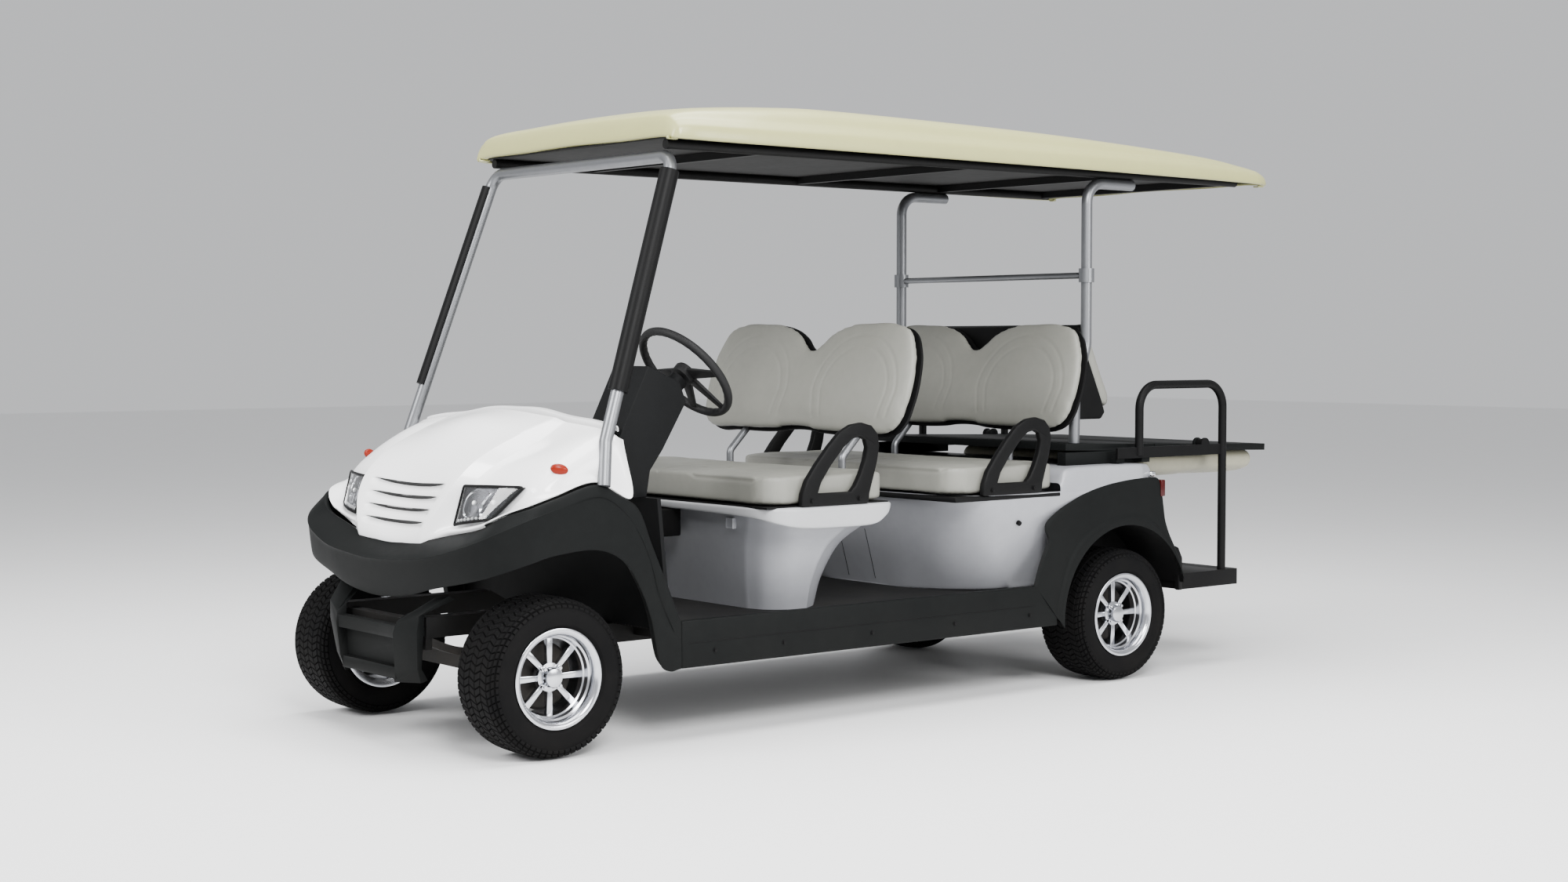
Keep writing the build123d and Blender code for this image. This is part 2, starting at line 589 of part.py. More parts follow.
FOOT_Z = deck_z(FOOT_Y) + 1
STRUT_TOP_Z = rail_z - RAIL_R - RAIL_TUBE_R
rear_strut = bent_tube(
    [
        (STRUT_X - 3, FOOT_Y, FOOT_Z),
        (STRUT_X - 2, FOOT_Y + 4, 1004),
        (STRUT_X, 813, 1166),
        (STRUT_X, 813, STRUT_TOP_Z),
        (STRUT_X, 1040, STRUT_TOP_Z),
    ],
    70,
    RAIL_TUBE_R,
)
save("rear_struts", rear_strut, other_side(rear_strut))
cross = bar((-(STRUT_X - 20), 813, CROSSBAR_Z), (STRUT_X - 20, 813, CROSSBAR_Z), 11)
for side in (1, -1):
    clamp = post(side * STRUT_X, 813, CROSSBAR_Z - 24, CROSSBAR_Z + 24, RAIL_TUBE_R + 8)
    clamp -= post(side * STRUT_X, 813, CROSSBAR_Z - 30, CROSSBAR_Z + 30, RAIL_TUBE_R + PAD_GAP)
    cross += clamp
save("strut_crossbar", cross)

# ---- front seat pod, its white rim and the selector box ----


def pod_wall(stack, t):
    """Hollow wall through stacked left half outlines, each from the front middle to the rear middle."""
    outer = [[(x, y, z) for x, y in outline] for outline, z in stack]
    inner = [[(x, y, z) for x, y in inset(outline, t)] for outline, z in stack]
    half = skin(outer, inner)
    return half + other_side(half)


RIM_Z = SEAT_Z - RIM_T
SEAT_REAR_Y = FRONT_SEAT_Y + SEAT_DEPTH
pod_low = [(0, -578), (369, -578), (454, -409), (454, SEAT_REAR_Y + 20), (0, SEAT_REAR_Y + 20)]
pod_high = [(0, -648), (480, -648), (575, -500), (575, SEAT_REAR_Y + 60), (0, SEAT_REAR_Y + 60)]
pod = pod_wall([(pod_low, FLOOR_Z), (pod_high, RIM_Z)], SHELL_T)
save("front_seat_pod", pod)
rim_plan = [(300, -694), (540, -684), (BODY_X, -560), (BODY_X, SEAT_REAR_Y + 40), (585, SEAT_REAR_Y + 70)]
save("front_seat_rim", plan_slab(full(rim_plan), RIM_Z, SEAT_Z))
save("selector_box", box(-95, 95, -790, -652, 556, RIM_Z - PAD_GAP) - pod)

# ---- seats ----


def cushion(front_y):
    """Plain closed solid of one bench cushion."""
    solid = box(-CUSHION_X, CUSHION_X, front_y, front_y + SEAT_DEPTH, SEAT_Z + PAD_GAP, SEAT_Z + CUSHION_H)
    return fillet(solid.edges().filter_by(Axis.Z), 45)


REAR_SEAT_Y = FRONT_SEAT_Y + SEAT_PITCH
save("seat_cushions", cushion(FRONT_SEAT_Y), cushion(REAR_SEAT_Y))
PAD_T = 44
BACK_T = 13
BACK_LEAN = 17
# x, z of the twin-hump outline, left half from the top notch round to the bottom notch
HUMP = (
    (0, 1164),
    (70, 1200),
    (160, 1246),
    (275, 1256),
    (400, 1246),
    (490, 1200),
    (532, 1090),
    (530, 985),
    (483, 905),
    (400, 892),
    (110, 892),
    (0, 903),
)


def back_panel(grow, y0, y1):
    """Twin-hump panel between two depths, before it leans; grow widens it."""
    outline = [(x + (grow if x > 0 else 0), z + (grow if z > 1100 else -grow)) for x, z in HUMP]
    half = front_slab(outline, y0, y1)
    return half + other_side(half)


def lean(solid, y, z, angle):
    """Tilt about a line along X."""
    return Pos(0, y, z) * Rot(-angle, 0, 0) * Pos(0, -y, -z) * solid


BACK_Y = FRONT_SEAT_Y + SEAT_DEPTH + 82
strut_room = bent_tube(
    [
        (STRUT_X - 3, FOOT_Y, FOOT_Z),
        (STRUT_X - 2, FOOT_Y + 4, 1004),
        (STRUT_X, 813, 1166),
        (STRUT_X, 813, 1500),
    ],
    70,
    RAIL_TUBE_R + 2,
)
pads = []
shells = []
for row_y in (BACK_Y, BACK_Y + SEAT_PITCH):
    pad = lean(back_panel(0, row_y, row_y + PAD_T), row_y, 892, BACK_LEAN)
    shell = lean(back_panel(4, row_y + PAD_T + PAD_GAP, row_y + PAD_T + BACK_T), row_y, 892, BACK_LEAN)
    for room in (strut_room, other_side(strut_room)):
        pad -= room
        shell -= room
    pads.append(pad)
    shells.append(shell)
REAR_FACING_X = 445
REAR_FACING_Y = BACK_Y + SEAT_PITCH + 150
# (y, z) behind REAR_FACING_Y
pad_section = ((43, 1240), (68, 1222), (184, 985), (173, 950), (134, 968), (22, 1205))
shell_section = ((10, 1228), (33, 1238), (21, 1205), (133, 967), (148, 930), (128, 906), (-2, 906), (0, 1100))
rear_pad = side_slab([(REAR_FACING_Y + y, z) for y, z in pad_section], 8 - REAR_FACING_X, REAR_FACING_X - 8)
rear_shell = side_slab([(REAR_FACING_Y + y, z) for y, z in shell_section], -REAR_FACING_X, REAR_FACING_X)
pads.append(rear_pad)
shells.append(rear_shell)
save("backrest_pads", *pads)
save("backrest_shells", *shells)

# ---- seat back supports ----
BODY_TOP_Z = 752
SEAT_END_Y = REAR_SEAT_Y + SEAT_DEPTH
rear_foot_y = REAR_FACING_Y + 78
supports = []
for side in (1, -1):
    x = side * 300
    for foot_y, foot_z in ((BACK_Y - 30, SEAT_Z), (BACK_Y - 30 + SEAT_PITCH, BODY_TOP_Z)):
        points = [(x, foot_y, foot_z), (x, foot_y, 850), (x, foot_y + 132, 1030)]
        tube = bent_tube(points, 60, 14)
        for shell in shells[:2]:
            tube -= shell
        for pad in pads[:2]:
            tube -= pad
        supports.append(tube.solids().sort_by(Axis.Z)[0])
    supports.append(post(side * 520, SEAT_END_Y + 75, BODY_TOP_Z, 872, 20))
    supports.append(post(side * 300, rear_foot_y, deck_z(rear_foot_y) + 1, 906, 14))
save("seat_back_supports", *supports)

# ---- armrests ----
ARM_X0 = 577
ARM_X1 = BODY_X + 3
# (y, z) from the foot of the armrest's front edge
arm_outer = [(0, 0), (12, 60), (60, 125), (150, 220), (215, 252), (268, 252)]
arm_outer += [(308, 228), (316, 180), (290, 90), (272, 0)]
arm_inner = [(62, 36), (70, 62), (110, 120), (180, 185), (222, 208)]
arm_inner += [(256, 206), (266, 190), (240, 110), (206, 44)]
arms = []
for front_y in (-568, -568 + SEAT_PITCH):
    hoop = [(front_y + y, SEAT_Z + PAD_GAP + z) for y, z in arm_outer]
    hole = [(front_y + y, SEAT_Z + PAD_GAP + z) for y, z in arm_inner]
    arm = side_slab(hoop, ARM_X0, ARM_X1) - side_slab(hole, ARM_X0 - 5, ARM_X1 + 5)
    arms.append(arm)
    arms.append(other_side(arm))
save("armrests", *arms)

# ---- rear body ----
ARCH_Y = REAR_AXLE_Y + 9
ARCH_R = 312
CAP_Y = SEAT_END_Y + 4
base_low = [(0, 205), (175, 205), (350, 255), (451, 387), (451, 890), (400, 1040), (0, 1040)]
base_high = [(0, 96), (200, 96), (480, 108), (588, 200), (592, 980), (562, 1068), (0, 1068)]
cap_low = [(0, CAP_Y), (592, CAP_Y), (592, 980), (562, 1068), (0, 1068)]
cap_high = [(0, CAP_Y), (585, CAP_Y), (585, 980), (556, 1062), (0, 1062)]
rear_body = pod_wall([(base_low, FLOOR_Z), (base_high, SEAT_Z)], SHELL_T)
rear_body += plan_slab(full(base_high[1:-1]), SEAT_Z - SHELL_T, SEAT_Z)
rear_body += pod_wall([(cap_low, SEAT_Z), (cap_high, BODY_TOP_Z)], SHELL_T)
rear_body += plan_slab(full(cap_high[1:-1]), BODY_TOP_Z - SHELL_T, BODY_TOP_Z)
for side in (1, -1):
    well = axle_disc(side * 380, side * 640, ARCH_Y, AXLE_Z, ARCH_R + 4)
    rear_body -= well
    rear_body -= box(side * RAIL_X - 27, side * RAIL_X + 27, 1000, 1100, FLOOR_Z - 5, KICK_Z + RAIL_H + 2)
rear_body -= box(-RAIL_X, RAIL_X, 600, 680, FLOOR_Z - 5, FLOOR_Z + 45)
save("rear_body", rear_body)

# ---- rear fenders ----
fender_profile = [
    (446, SILL_TOP_Z + 1),
    (459, 426),
    (500, 500),
    (492, 546),
    (516, 578),
    (593, 622),
    (690, 658),
    (790, 681),
    (983, 698),
    (1036, 690),
    (1072, 650),
    (1088, 600),
    (1150, 510),
    (1190, 400),
    (1192, 300),
    (556, 225),
    (553, 300),
]
flare = side_slab(fender_profile, 592 + PAD_GAP, 606)
flare -= axle_disc(560, 640, ARCH_Y, AXLE_Z, ARCH_R)
flare_parts = flare.solids().sort_by(SortBy.VOLUME)
save("rear_fenders", flare_parts[-1], other_side(flare_parts[-1]))
tail = box(540, 562, 1068 + PAD_GAP, 1079, 655, 711)
save("tail_lamps", tail, other_side(tail))

# ---- deck, flip panel and cushion, grab rails, footrest ----


def sloped(solid):
    """Follow the gentle rearward fall of the deck."""
    return Pos(0, FLIP_Y, PIVOT_Z) * Rot(-DECK_SLOPE, 0, 0) * Pos(0, -FLIP_Y, -PIVOT_Z) * solid


DECK_FRONT_Y = SEAT_END_Y + 102
GAP = 6
deck_z_range = (FLIP_Z - DECK_T / 2, FLIP_Z + DECK_T / 2)
deck = sloped(box(-FLIP_X, FLIP_X, DECK_FRONT_Y, FLIP_Y - FLIP_FRONT - GAP, *deck_z_range))
for side in (1, -1):
    beam_x = side * 500
    deck += box(beam_x - 20, beam_x + 20, DECK_FRONT_Y, 1062, BODY_TOP_Z, FLIP_Z)
    arm_x = sorted((beam_x, side * (GRAB_X - PLATE_T / 2 - PAD_GAP)))
    deck += box(*arm_x, 890, 930, BODY_TOP_Z + 2, FLIP_Z - 8)
    deck += box(*arm_x, 1020, 1060, BODY_TOP_Z + 2, FLIP_Z - 8)
save("rear_deck", deck)
PIVOT_R = 8
LUG_R = 22
LUG_T = 10
panel = box(-FLIP_X, FLIP_X, FLIP_Y - FLIP_FRONT, FLIP_Y + FLIP_REAR, *deck_z_range)
for side in (1, -1):
    lug = axle_disc(side * FLIP_X, side * (FLIP_X + LUG_T), FLIP_Y, PIVOT_Z, LUG_R)
    lug -= axle_disc(side * FLIP_X, side * (FLIP_X + LUG_T), FLIP_Y, PIVOT_Z, PIVOT_R + PIN_GAP)
    panel += lug
save("flip_deck", sloped(panel))
pad = box(-480, 480, FLIP_Y - 222, FLIP_Y + 377, FLIP_Z - DECK_T / 2 - 85, FLIP_Z - DECK_T / 2 - PAD_GAP)
pad = fillet(pad.edges().filter_by(Axis.Z), 40)
save("flip_cushion", sloped(pad))
HOOP_FRONT_Y = REAR_AXLE_Y + 114
HOOP_REAR_Y = REAR_AXLE_Y + 561
HOOP_TOP_Z = 1026
grabs = []
for side in (1, -1):
    x = side * GRAB_X
    hoop_route = [
        (x, HOOP_FRONT_Y, FLIP_Z - 18),
        (x, HOOP_FRONT_Y, HOOP_TOP_Z),
        (x, HOOP_REAR_Y, HOOP_TOP_Z),
        (x, HOOP_REAR_Y, 300),
    ]
    hoop = bent_tube(hoop_route, 85, GRAB_R)
    hoop += box(x - PLATE_T / 2, x + PLATE_T / 2, REAR_AXLE_Y - 1, HOOP_REAR_Y + 8, 770, 808)
    hoop += axle_disc(x + PLATE_T / 2, x - PLATE_T / 2, FLIP_Y, PIVOT_Z, LUG_R)
    hoop += axle_disc(x, side * (FLIP_X + 1), FLIP_Y, PIVOT_Z, PIVOT_R)
    hoop += axle_disc(x, side * (FLIP_X + LUG_T + 5), FLIP_Y, PIVOT_Z, LUG_R - 4)
    grabs.append(hoop)
FOOTREST_Y = FRAME_REAR_Y + 26
footrest = box(-578, 578, FOOTREST_Y, HOOP_REAR_Y + 68, 293, 350)
for side in (1, -1):
    footrest -= post(side * GRAB_X, HOOP_REAR_Y, 290, 360, GRAB_R + PAD_GAP)
    bracket_x = (side * RAIL_X - RAIL_W / 2, side * RAIL_X + RAIL_W / 2)
    footrest += box(*bracket_x, FRAME_REAR_Y, FOOTREST_Y + 24, 305, 350)
save("rear_footrest", footrest)
save("grab_rails", *grabs)
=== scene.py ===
"""Looks of an open golf cart: moulded panels, soft seats, tyres, lamps and their finishes.

Metres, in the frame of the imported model: X to the cart's left, Y rearward, Z up.
"""

import json
import logging
import math
from dataclasses import dataclass
from enum import Enum
from typing import Callable, Sequence

import bpy
from mathutils import Matrix, Vector

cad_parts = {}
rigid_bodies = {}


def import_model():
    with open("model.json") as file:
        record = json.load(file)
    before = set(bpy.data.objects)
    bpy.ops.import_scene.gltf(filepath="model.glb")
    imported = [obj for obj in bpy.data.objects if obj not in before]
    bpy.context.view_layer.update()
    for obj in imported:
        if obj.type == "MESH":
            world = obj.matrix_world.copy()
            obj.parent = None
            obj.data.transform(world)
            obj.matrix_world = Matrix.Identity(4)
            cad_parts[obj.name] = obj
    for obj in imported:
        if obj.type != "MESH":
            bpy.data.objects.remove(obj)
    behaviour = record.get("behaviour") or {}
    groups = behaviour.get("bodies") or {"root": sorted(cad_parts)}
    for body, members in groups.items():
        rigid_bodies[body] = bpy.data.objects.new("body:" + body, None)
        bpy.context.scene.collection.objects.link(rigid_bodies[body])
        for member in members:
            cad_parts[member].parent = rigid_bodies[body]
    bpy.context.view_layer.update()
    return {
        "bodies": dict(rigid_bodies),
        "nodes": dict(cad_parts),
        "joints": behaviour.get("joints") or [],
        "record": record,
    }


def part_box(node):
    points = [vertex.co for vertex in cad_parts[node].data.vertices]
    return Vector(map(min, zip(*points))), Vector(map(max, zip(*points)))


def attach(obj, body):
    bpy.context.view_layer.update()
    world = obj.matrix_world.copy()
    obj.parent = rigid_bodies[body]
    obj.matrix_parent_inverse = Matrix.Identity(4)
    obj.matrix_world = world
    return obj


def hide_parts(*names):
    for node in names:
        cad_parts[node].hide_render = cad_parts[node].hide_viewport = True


log = logging.getLogger("golf_cart")
Point = tuple[float, float, float]
Colour = tuple[float, float, float]
MM = 0.001
LEFT_AND_RIGHT = (1, -1)
REAR_AXLE_Y = 0.895
REAR_AXLE_Z = 0.230
DUST_COLOUR = (0.24, 0.21, 0.17)
DUST_LIMIT = 0.6
ROUGHNESS_SPREAD = 0.08


# ---- shader maths ----
class Value:
    """A shader socket, or a plain number, that takes part in sums."""

    def __init__(self, graph: "Graph", source: object) -> None:
        """Holds an output socket or a number of one node tree."""
        self.graph = graph
        self.source = source

    def _sum(self, operation: str, *others: object) -> "Value":
        """Adds one Math node.

        Args:
            operation: the Math node's operation.
            others: the second operand, where there is one.

        Returns:
            The node's result.
        """
        operands = [self.source] + [getattr(other, "source", other) for other in others]
        node = self.graph.add("ShaderNodeMath", {"operation": operation}, dict(enumerate(operands)))
        return Value(self.graph, node.outputs[0])

    def __add__(self, other: object) -> "Value":
        """Sum."""
        return self._sum("ADD", other)

    def __mul__(self, other: object) -> "Value":
        """Product."""
        return self._sum("MULTIPLY", other)

    def __rsub__(self, other: object) -> "Value":
        """Difference from a number."""
        return Value(self.graph, other)._sum("SUBTRACT", self)

    def smallest(self, other: object) -> "Value":
        """The lower of two values."""
        return self._sum("MINIMUM", other)

    def wave(self, length: float) -> "Value":
        """A sine of this, from 0 to 1, that repeats at a length."""
        return (self * (math.tau / length))._sum("SINE") * 0.5 + 0.5

    def ramp(self, low: float, high: float) -> "Value":
        """0 below low, 1 above high, straight between."""
        inputs = {0: self.source, 1: low, 2: high, 3: 0.0, 4: 1.0}
        return Value(self.graph, self.graph.add("ShaderNodeMapRange", {"clamp": True}, inputs).outputs[0])


class Graph:
    """The node tree of one material, with one method that makes every node."""

    def __init__(self, name: str) -> None:
        """Starts a material of this name."""
        self.material = bpy.data.materials.new(name)
        self.material.use_nodes = True
        self.tree = self.material.node_tree
        self.shader = self.tree.nodes["Principled BSDF"]
        self.place = self.add("ShaderNodeTexCoord", {}, {}).outputs["Object"]

    def add(self, kind: str, settings: dict, inputs: dict) -> bpy.types.Node:
        """Makes one node.

        Args:
            kind: the node's type.
            settings: its own properties, set before the sockets.
            inputs: socket name or number to a value, a socket or a Value.

        Returns:
            The new node.
        """
        node = self.tree.nodes.new(kind)
        for key, setting in settings.items():
            setattr(node, key, setting)
        for key, source in inputs.items():
            self.feed(node.inputs[key], source)
        return node

    def feed(self, socket: bpy.types.NodeSocket, source: object) -> None:
        """Links or sets one input socket."""
        source = getattr(source, "source", source)
        if isinstance(source, bpy.types.NodeSocket):
            self.tree.links.new(source, socket)
        else:
            socket.default_value = source

    def stretched(self, scale: Point) -> bpy.types.NodeSocket:
        """Object coordinates multiplied by a scale an axis."""
        return self.add("ShaderNodeMapping", {}, {"Vector": self.place, "Scale": scale}).outputs[0]

    def noise(self, size: float, detail: float = 4.0, where: object = None) -> Value:
        """Soft noise with features of about a size in metres."""
        inputs = {"Vector": where or self.place, "Scale": 1 / size, "Detail": detail}
        return Value(self, self.add("ShaderNodeTexNoise", {}, inputs).outputs[0])

    def cells(self, size: float, feature: str) -> Value:
        """Distance to the nearest of scattered points about a size apart."""
        inputs = {"Vector": self.place, "Scale": 1 / size}
        node = self.add("ShaderNodeTexVoronoi", {"feature": feature}, inputs)
        return Value(self, node.outputs["Distance"])

    def axis(self, index: int) -> Value:
        """One object coordinate."""
        return Value(self, self.add("ShaderNodeSeparateXYZ", {}, {0: self.place}).outputs[index])

    def blend(self, mask: object, first: Colour, second: object) -> bpy.types.NodeSocket:
        """Colour between two, by a mask."""
        sides = [(*c, 1.0) if isinstance(c, tuple) else c for c in (first, second)]
        node = self.add("ShaderNodeMix", {"data_type": "RGBA"}, {0: mask, 6: sides[0], 7: sides[1]})
        return node.outputs[2]

    def bump(self, height: object, depth: float) -> None:
        """Raises the surface by a height of 0 to 1 times a depth in metres."""
        node = self.add("ShaderNodeBump", {}, {"Height": height, "Distance": depth, "Strength": 1.0})
        self.feed(self.shader.inputs["Normal"], node.outputs[0])


class Grain(Enum):
    """How a finish breaks up close to."""

    SMOOTH = "smooth"
    ORANGE_PEEL = "orange peel"
    PEBBLE = "pebble"
    BRUSHED = "brushed"
    RIBBED = "ribbed"
    CAST = "cast"


@dataclass(frozen=True)
class Finish:
    """One surface finish; colour and worn are the ends of its variation, grime the dust low down."""

    name: str
    slot: str
    colour: Colour
    worn: Colour
    roughness: float
    metallic: float = 0.0
    coat: float = 0.0
    grain: Grain = Grain.SMOOTH
    grain_size: float = 0.003
    depth: float = 0.0002
    patch_size: float = 0.25
    grime: float = 0.03
    transmission: float = 0.0
    glow: float = 0.0
    specular: float = 0.5

    def height(self, graph: Graph) -> Value:
        """The relief of this finish's grain, 0 to 1."""
        if self.grain is Grain.PEBBLE:
            pits = graph.cells(self.grain_size, "SMOOTH_F1")
            return pits.ramp(0.0, 0.7) * 0.75 + graph.noise(self.grain_size * 3) * 0.25
        if self.grain is Grain.BRUSHED:
            streaks = graph.stretched((0.04, 1.0, 1.0))
            return graph.noise(self.grain_size, 2.0, streaks)
        if self.grain is Grain.RIBBED:
            return graph.axis(0).wave(self.grain_size * 4).ramp(0.25, 0.75)
        if self.grain is Grain.CAST:
            return graph.noise(self.grain_size, 8.0)
        return graph.noise(self.grain_size, 1.0)

    def paint(self) -> bpy.types.Material:
        """Builds the node material of this finish."""
        graph = Graph(self.name)
        patches = graph.noise(self.patch_size, 6.0).ramp(0.3, 0.75)
        fine = graph.noise(self.patch_size * 0.12, 8.0).ramp(0.4, 0.7)
        mask = patches * 0.6 + fine * 0.4
        tint = graph.blend(mask, self.colour, self.worn)
        low = 1 - graph.axis(2).ramp(0.05, 0.75)
        dust = (low * patches * self.grime).smallest(DUST_LIMIT)
        dusty = graph.blend(dust, (0.0, 0.0, 0.0), DUST_COLOUR)
        added = {"data_type": "RGBA", "blend_type": "ADD"}
        mixed = graph.add("ShaderNodeMix", added, {0: 1.0, 6: tint, 7: dusty})
        sockets = graph.shader.inputs
        graph.feed(sockets["Base Color"], mixed.outputs[2])
        spread = min(ROUGHNESS_SPREAD, self.roughness)
        rough = mask * spread + dust * 0.3 + (self.roughness - spread * 0.4)
        graph.feed(sockets["Roughness"], rough.ramp(0.0, 1.0))
        constants = {"Metallic": self.metallic, "Coat Weight": self.coat, "Specular IOR Level": self.specular,
                     "Transmission Weight": self.transmission}
        if self.glow:
            constants.update({"Emission Color": (*self.colour, 1.0), "Emission Strength": self.glow})
        for socket, value in constants.items():
            graph.feed(sockets[socket], value)
        graph.bump(self.height(graph), self.depth)
        return graph.material


# ---- modelling by operators ----
def deselect_all() -> None:
    """Leaves edit mode and selects nothing."""
    if bpy.context.object and bpy.context.object.mode != "OBJECT":
        bpy.ops.object.mode_set(mode="OBJECT")
    bpy.ops.object.select_all(action="DESELECT")


def spline(points: Sequence[Vector], t: float, sharp: frozenset[int] = frozenset()) -> Vector:
    """Point on a smooth curve through given points.

    Args:
        points: what the curve passes.
        t: where on it, from 0 to the last index.
        sharp: indices where it may turn a corner.

    Returns:
        The point at t.
    """
    i = min(int(t), len(points) - 2)
    f = t - i
    a, b = points[i], points[i + 1]
    before = a - (b - a) if i == 0 or i in sharp else points[i - 1]
    after = b + (b - a) if i + 2 >= len(points) or i + 1 in sharp else points[i + 2]
    ma = (b - before) * 0.5
    mb = (after - a) * 0.5
    f2, f3 = f * f, f * f * f
    return a * (2 * f3 - 3 * f2 + 1) + ma * (f3 - 2 * f2 + f) + b * (3 * f2 - 2 * f3) + mb * (f3 - f2)


def mirrored(points: Sequence[Point]) -> tuple[Point, ...]:
    """A row of points from the middle to the left edge, made whole with its mirror image."""
    return tuple((-x, y, z) for x, y, z in reversed(points[1:])) + tuple(points)


class Patch:
    """A smooth sheet through rows of points in millimetres, all rows of one length."""

    def __init__(self, rows: Sequence[Sequence[Point]], sharp_columns: Sequence[int] = ()) -> None:
        """Takes the points that the sheet passes, and the columns where it may crease."""
        self.rows = [[Vector(point) * MM for point in row] for row in rows]
        self.sharp_columns = frozenset(sharp_columns)

    def at(self, row: float, column: float) -> Vector:
        """Point on the sheet in metres, at shares from 0 to 1 of its rows and columns."""
        last_column = len(self.rows[0]) - 1
        across = [spline(points, column * last_column, self.sharp_columns) for points in self.rows]
        return spline(across, row * (len(self.rows) - 1))

    def panel(self, name: str, across: int, along: int, thickness: float) -> "Piece":
        """The sheet as a piece with a wall behind its face.

        Args:
            name: the piece's name.
            across: faces along each row.
            along: faces from the first row to the last.
            thickness: the wall.

        Returns:
            The panel.
        """
        piece = Piece.sheet(name, across, along, lambda u, v: self.at(v, u))
        return piece.thicken(thickness).smooth()


FRAME_NODES: dict[str, bpy.types.Object] = {}


class Piece:
    """One new object and the operators that shape it."""

    BEND_STEPS = 8

    def __init__(self, obj: bpy.types.Object, name: str) -> None:
        """Takes an object just added, and names it."""
        self.obj = obj
        obj.name = name
        obj.data.name = name
        obj.data.materials.clear()

    @classmethod
    def block(cls, name: str, low: Point, high: Point) -> "Piece":
        """Cube primitive between two corners, in metres."""
        deselect_all()
        size = [abs(b - a) for a, b in zip(low, high)]
        middle = [(a + b) / 2 for a, b in zip(low, high)]
        bpy.ops.mesh.primitive_cube_add(size=1, location=middle, scale=size)
        return cls(bpy.context.object, name).settle()

    @classmethod
    def adopt(cls, name: str, data: bpy.types.ID) -> "Piece":
        """Puts new mesh or curve data in the scene as the only selected object."""
        obj = bpy.data.objects.new(name, data)
        bpy.context.collection.objects.link(obj)
        piece = cls(obj, name)
        piece.hold()
        return piece

    def to_mesh(self) -> "Piece":
        """Turns a curve into a mesh."""
        bpy.ops.object.convert(target="MESH")
        return Piece(bpy.context.object, self.obj.name)

    @classmethod
    def disc(cls, name: str, centre: Point, radius: float, depth: float, axis: Point,
             sides: int = 32) -> "Piece":
        """Cylinder primitive about an axis through its centre."""
        deselect_all()
        bpy.ops.mesh.primitive_cylinder_add(vertices=sides, radius=radius, depth=depth)
        piece = cls(bpy.context.object, name)
        turn = Vector((0, 0, 1)).rotation_difference(Vector(axis)).to_matrix().to_4x4()
        return piece.move(Matrix.Translation(centre) @ turn)

    @classmethod
    def ball(cls, name: str, centre: Point, radius: float) -> "Piece":
        """Sphere primitive."""
        deselect_all()
        bpy.ops.mesh.primitive_uv_sphere_add(segments=24, ring_count=14, radius=radius, location=centre)
        return cls(bpy.context.object, name).settle()

    @classmethod
    def sheet(cls, name: str, across: int, along: int,
              place: Callable[[float, float], Vector]) -> "Piece":
        """Grid primitive laid over a shape.

        Args:
            name: the piece's name.
            across: faces across.
            along: faces along.
            place: point for two shares from 0 to 1, across and along.

        Returns:
            The shaped grid.
        """
        deselect_all()
        bpy.ops.mesh.primitive_grid_add(x_subdivisions=across, y_subdivisions=along, size=1)
        piece = cls(bpy.context.object, name)
        for vertex in piece.obj.data.vertices:
            vertex.co = place(vertex.co.x + 0.5, vertex.co.y + 0.5)
        return piece.settle()

    @classmethod
    def lathe(cls, name: str, profile: Sequence[tuple[float, float]], steps: int) -> "Piece":
        """Ring about X, spun from a profile of (x, radius) in metres.

        Args:
            name: the piece's name.
            profile: the section; a repeated first point closes it.
            steps: how many faces round.

        Returns:
            The spun ring.
        """
        mesh = bpy.data.meshes.new(name)
        points = [(x, 0.0, r) for x, r in profile]
        mesh.from_pydata(points, [(i, i + 1) for i in range(len(points) - 1)], [])
        piece = cls.adopt(name, mesh)
        bpy.ops.object.mode_set(mode="EDIT")
        bpy.ops.mesh.select_all(action="SELECT")
        bpy.ops.mesh.spin(steps=steps, angle=math.tau, center=(0, 0, 0), axis=(1, 0, 0))
        return piece.close_up()

    @classmethod
    def tube(cls, name: str, points: Sequence[Point], radius: float, bend: float = 0.0,
             sides: int = 5) -> "Piece":
        """Round bar through points in metres.

        Args:
            name: the piece's name.
            points: the corners of its route.
            radius: half its thickness.
            bend: radius of its corners.
            sides: fineness of its section.

        Returns:
            The bar as a mesh.
        """
        route = [Vector(p) for p in points]
        path = [route[0]]
        for before, corner, after in zip(route, route[1:], route[2:]):
            first, second = (before - corner), (after - corner)
            half_turn = (math.pi - first.angle(second)) / 2
            cut = min(bend * math.tan(half_turn), 0.49 * first.length, 0.49 * second.length)
            start, end = corner + first.normalized() * cut, corner + second.normalized() * cut
            shares = [k / cls.BEND_STEPS for k in range(cls.BEND_STEPS + 1)] if cut >= 1e-5 else [0.0]
            path += [start.lerp(corner, f).lerp(corner.lerp(end, f), f) for f in shares]
        path.append(route[-1])
        curve = bpy.data.curves.new(name, "CURVE")
        curve.dimensions = "3D"
        curve.bevel_depth = radius
        curve.bevel_resolution = sides
        curve.use_fill_caps = True
        line = curve.splines.new("POLY")
        line.points.add(len(path) - 1)
        for point, place in zip(line.points, path):
            point.co = (*place, 1.0)
        return cls.adopt(name, curve).to_mesh().smooth()

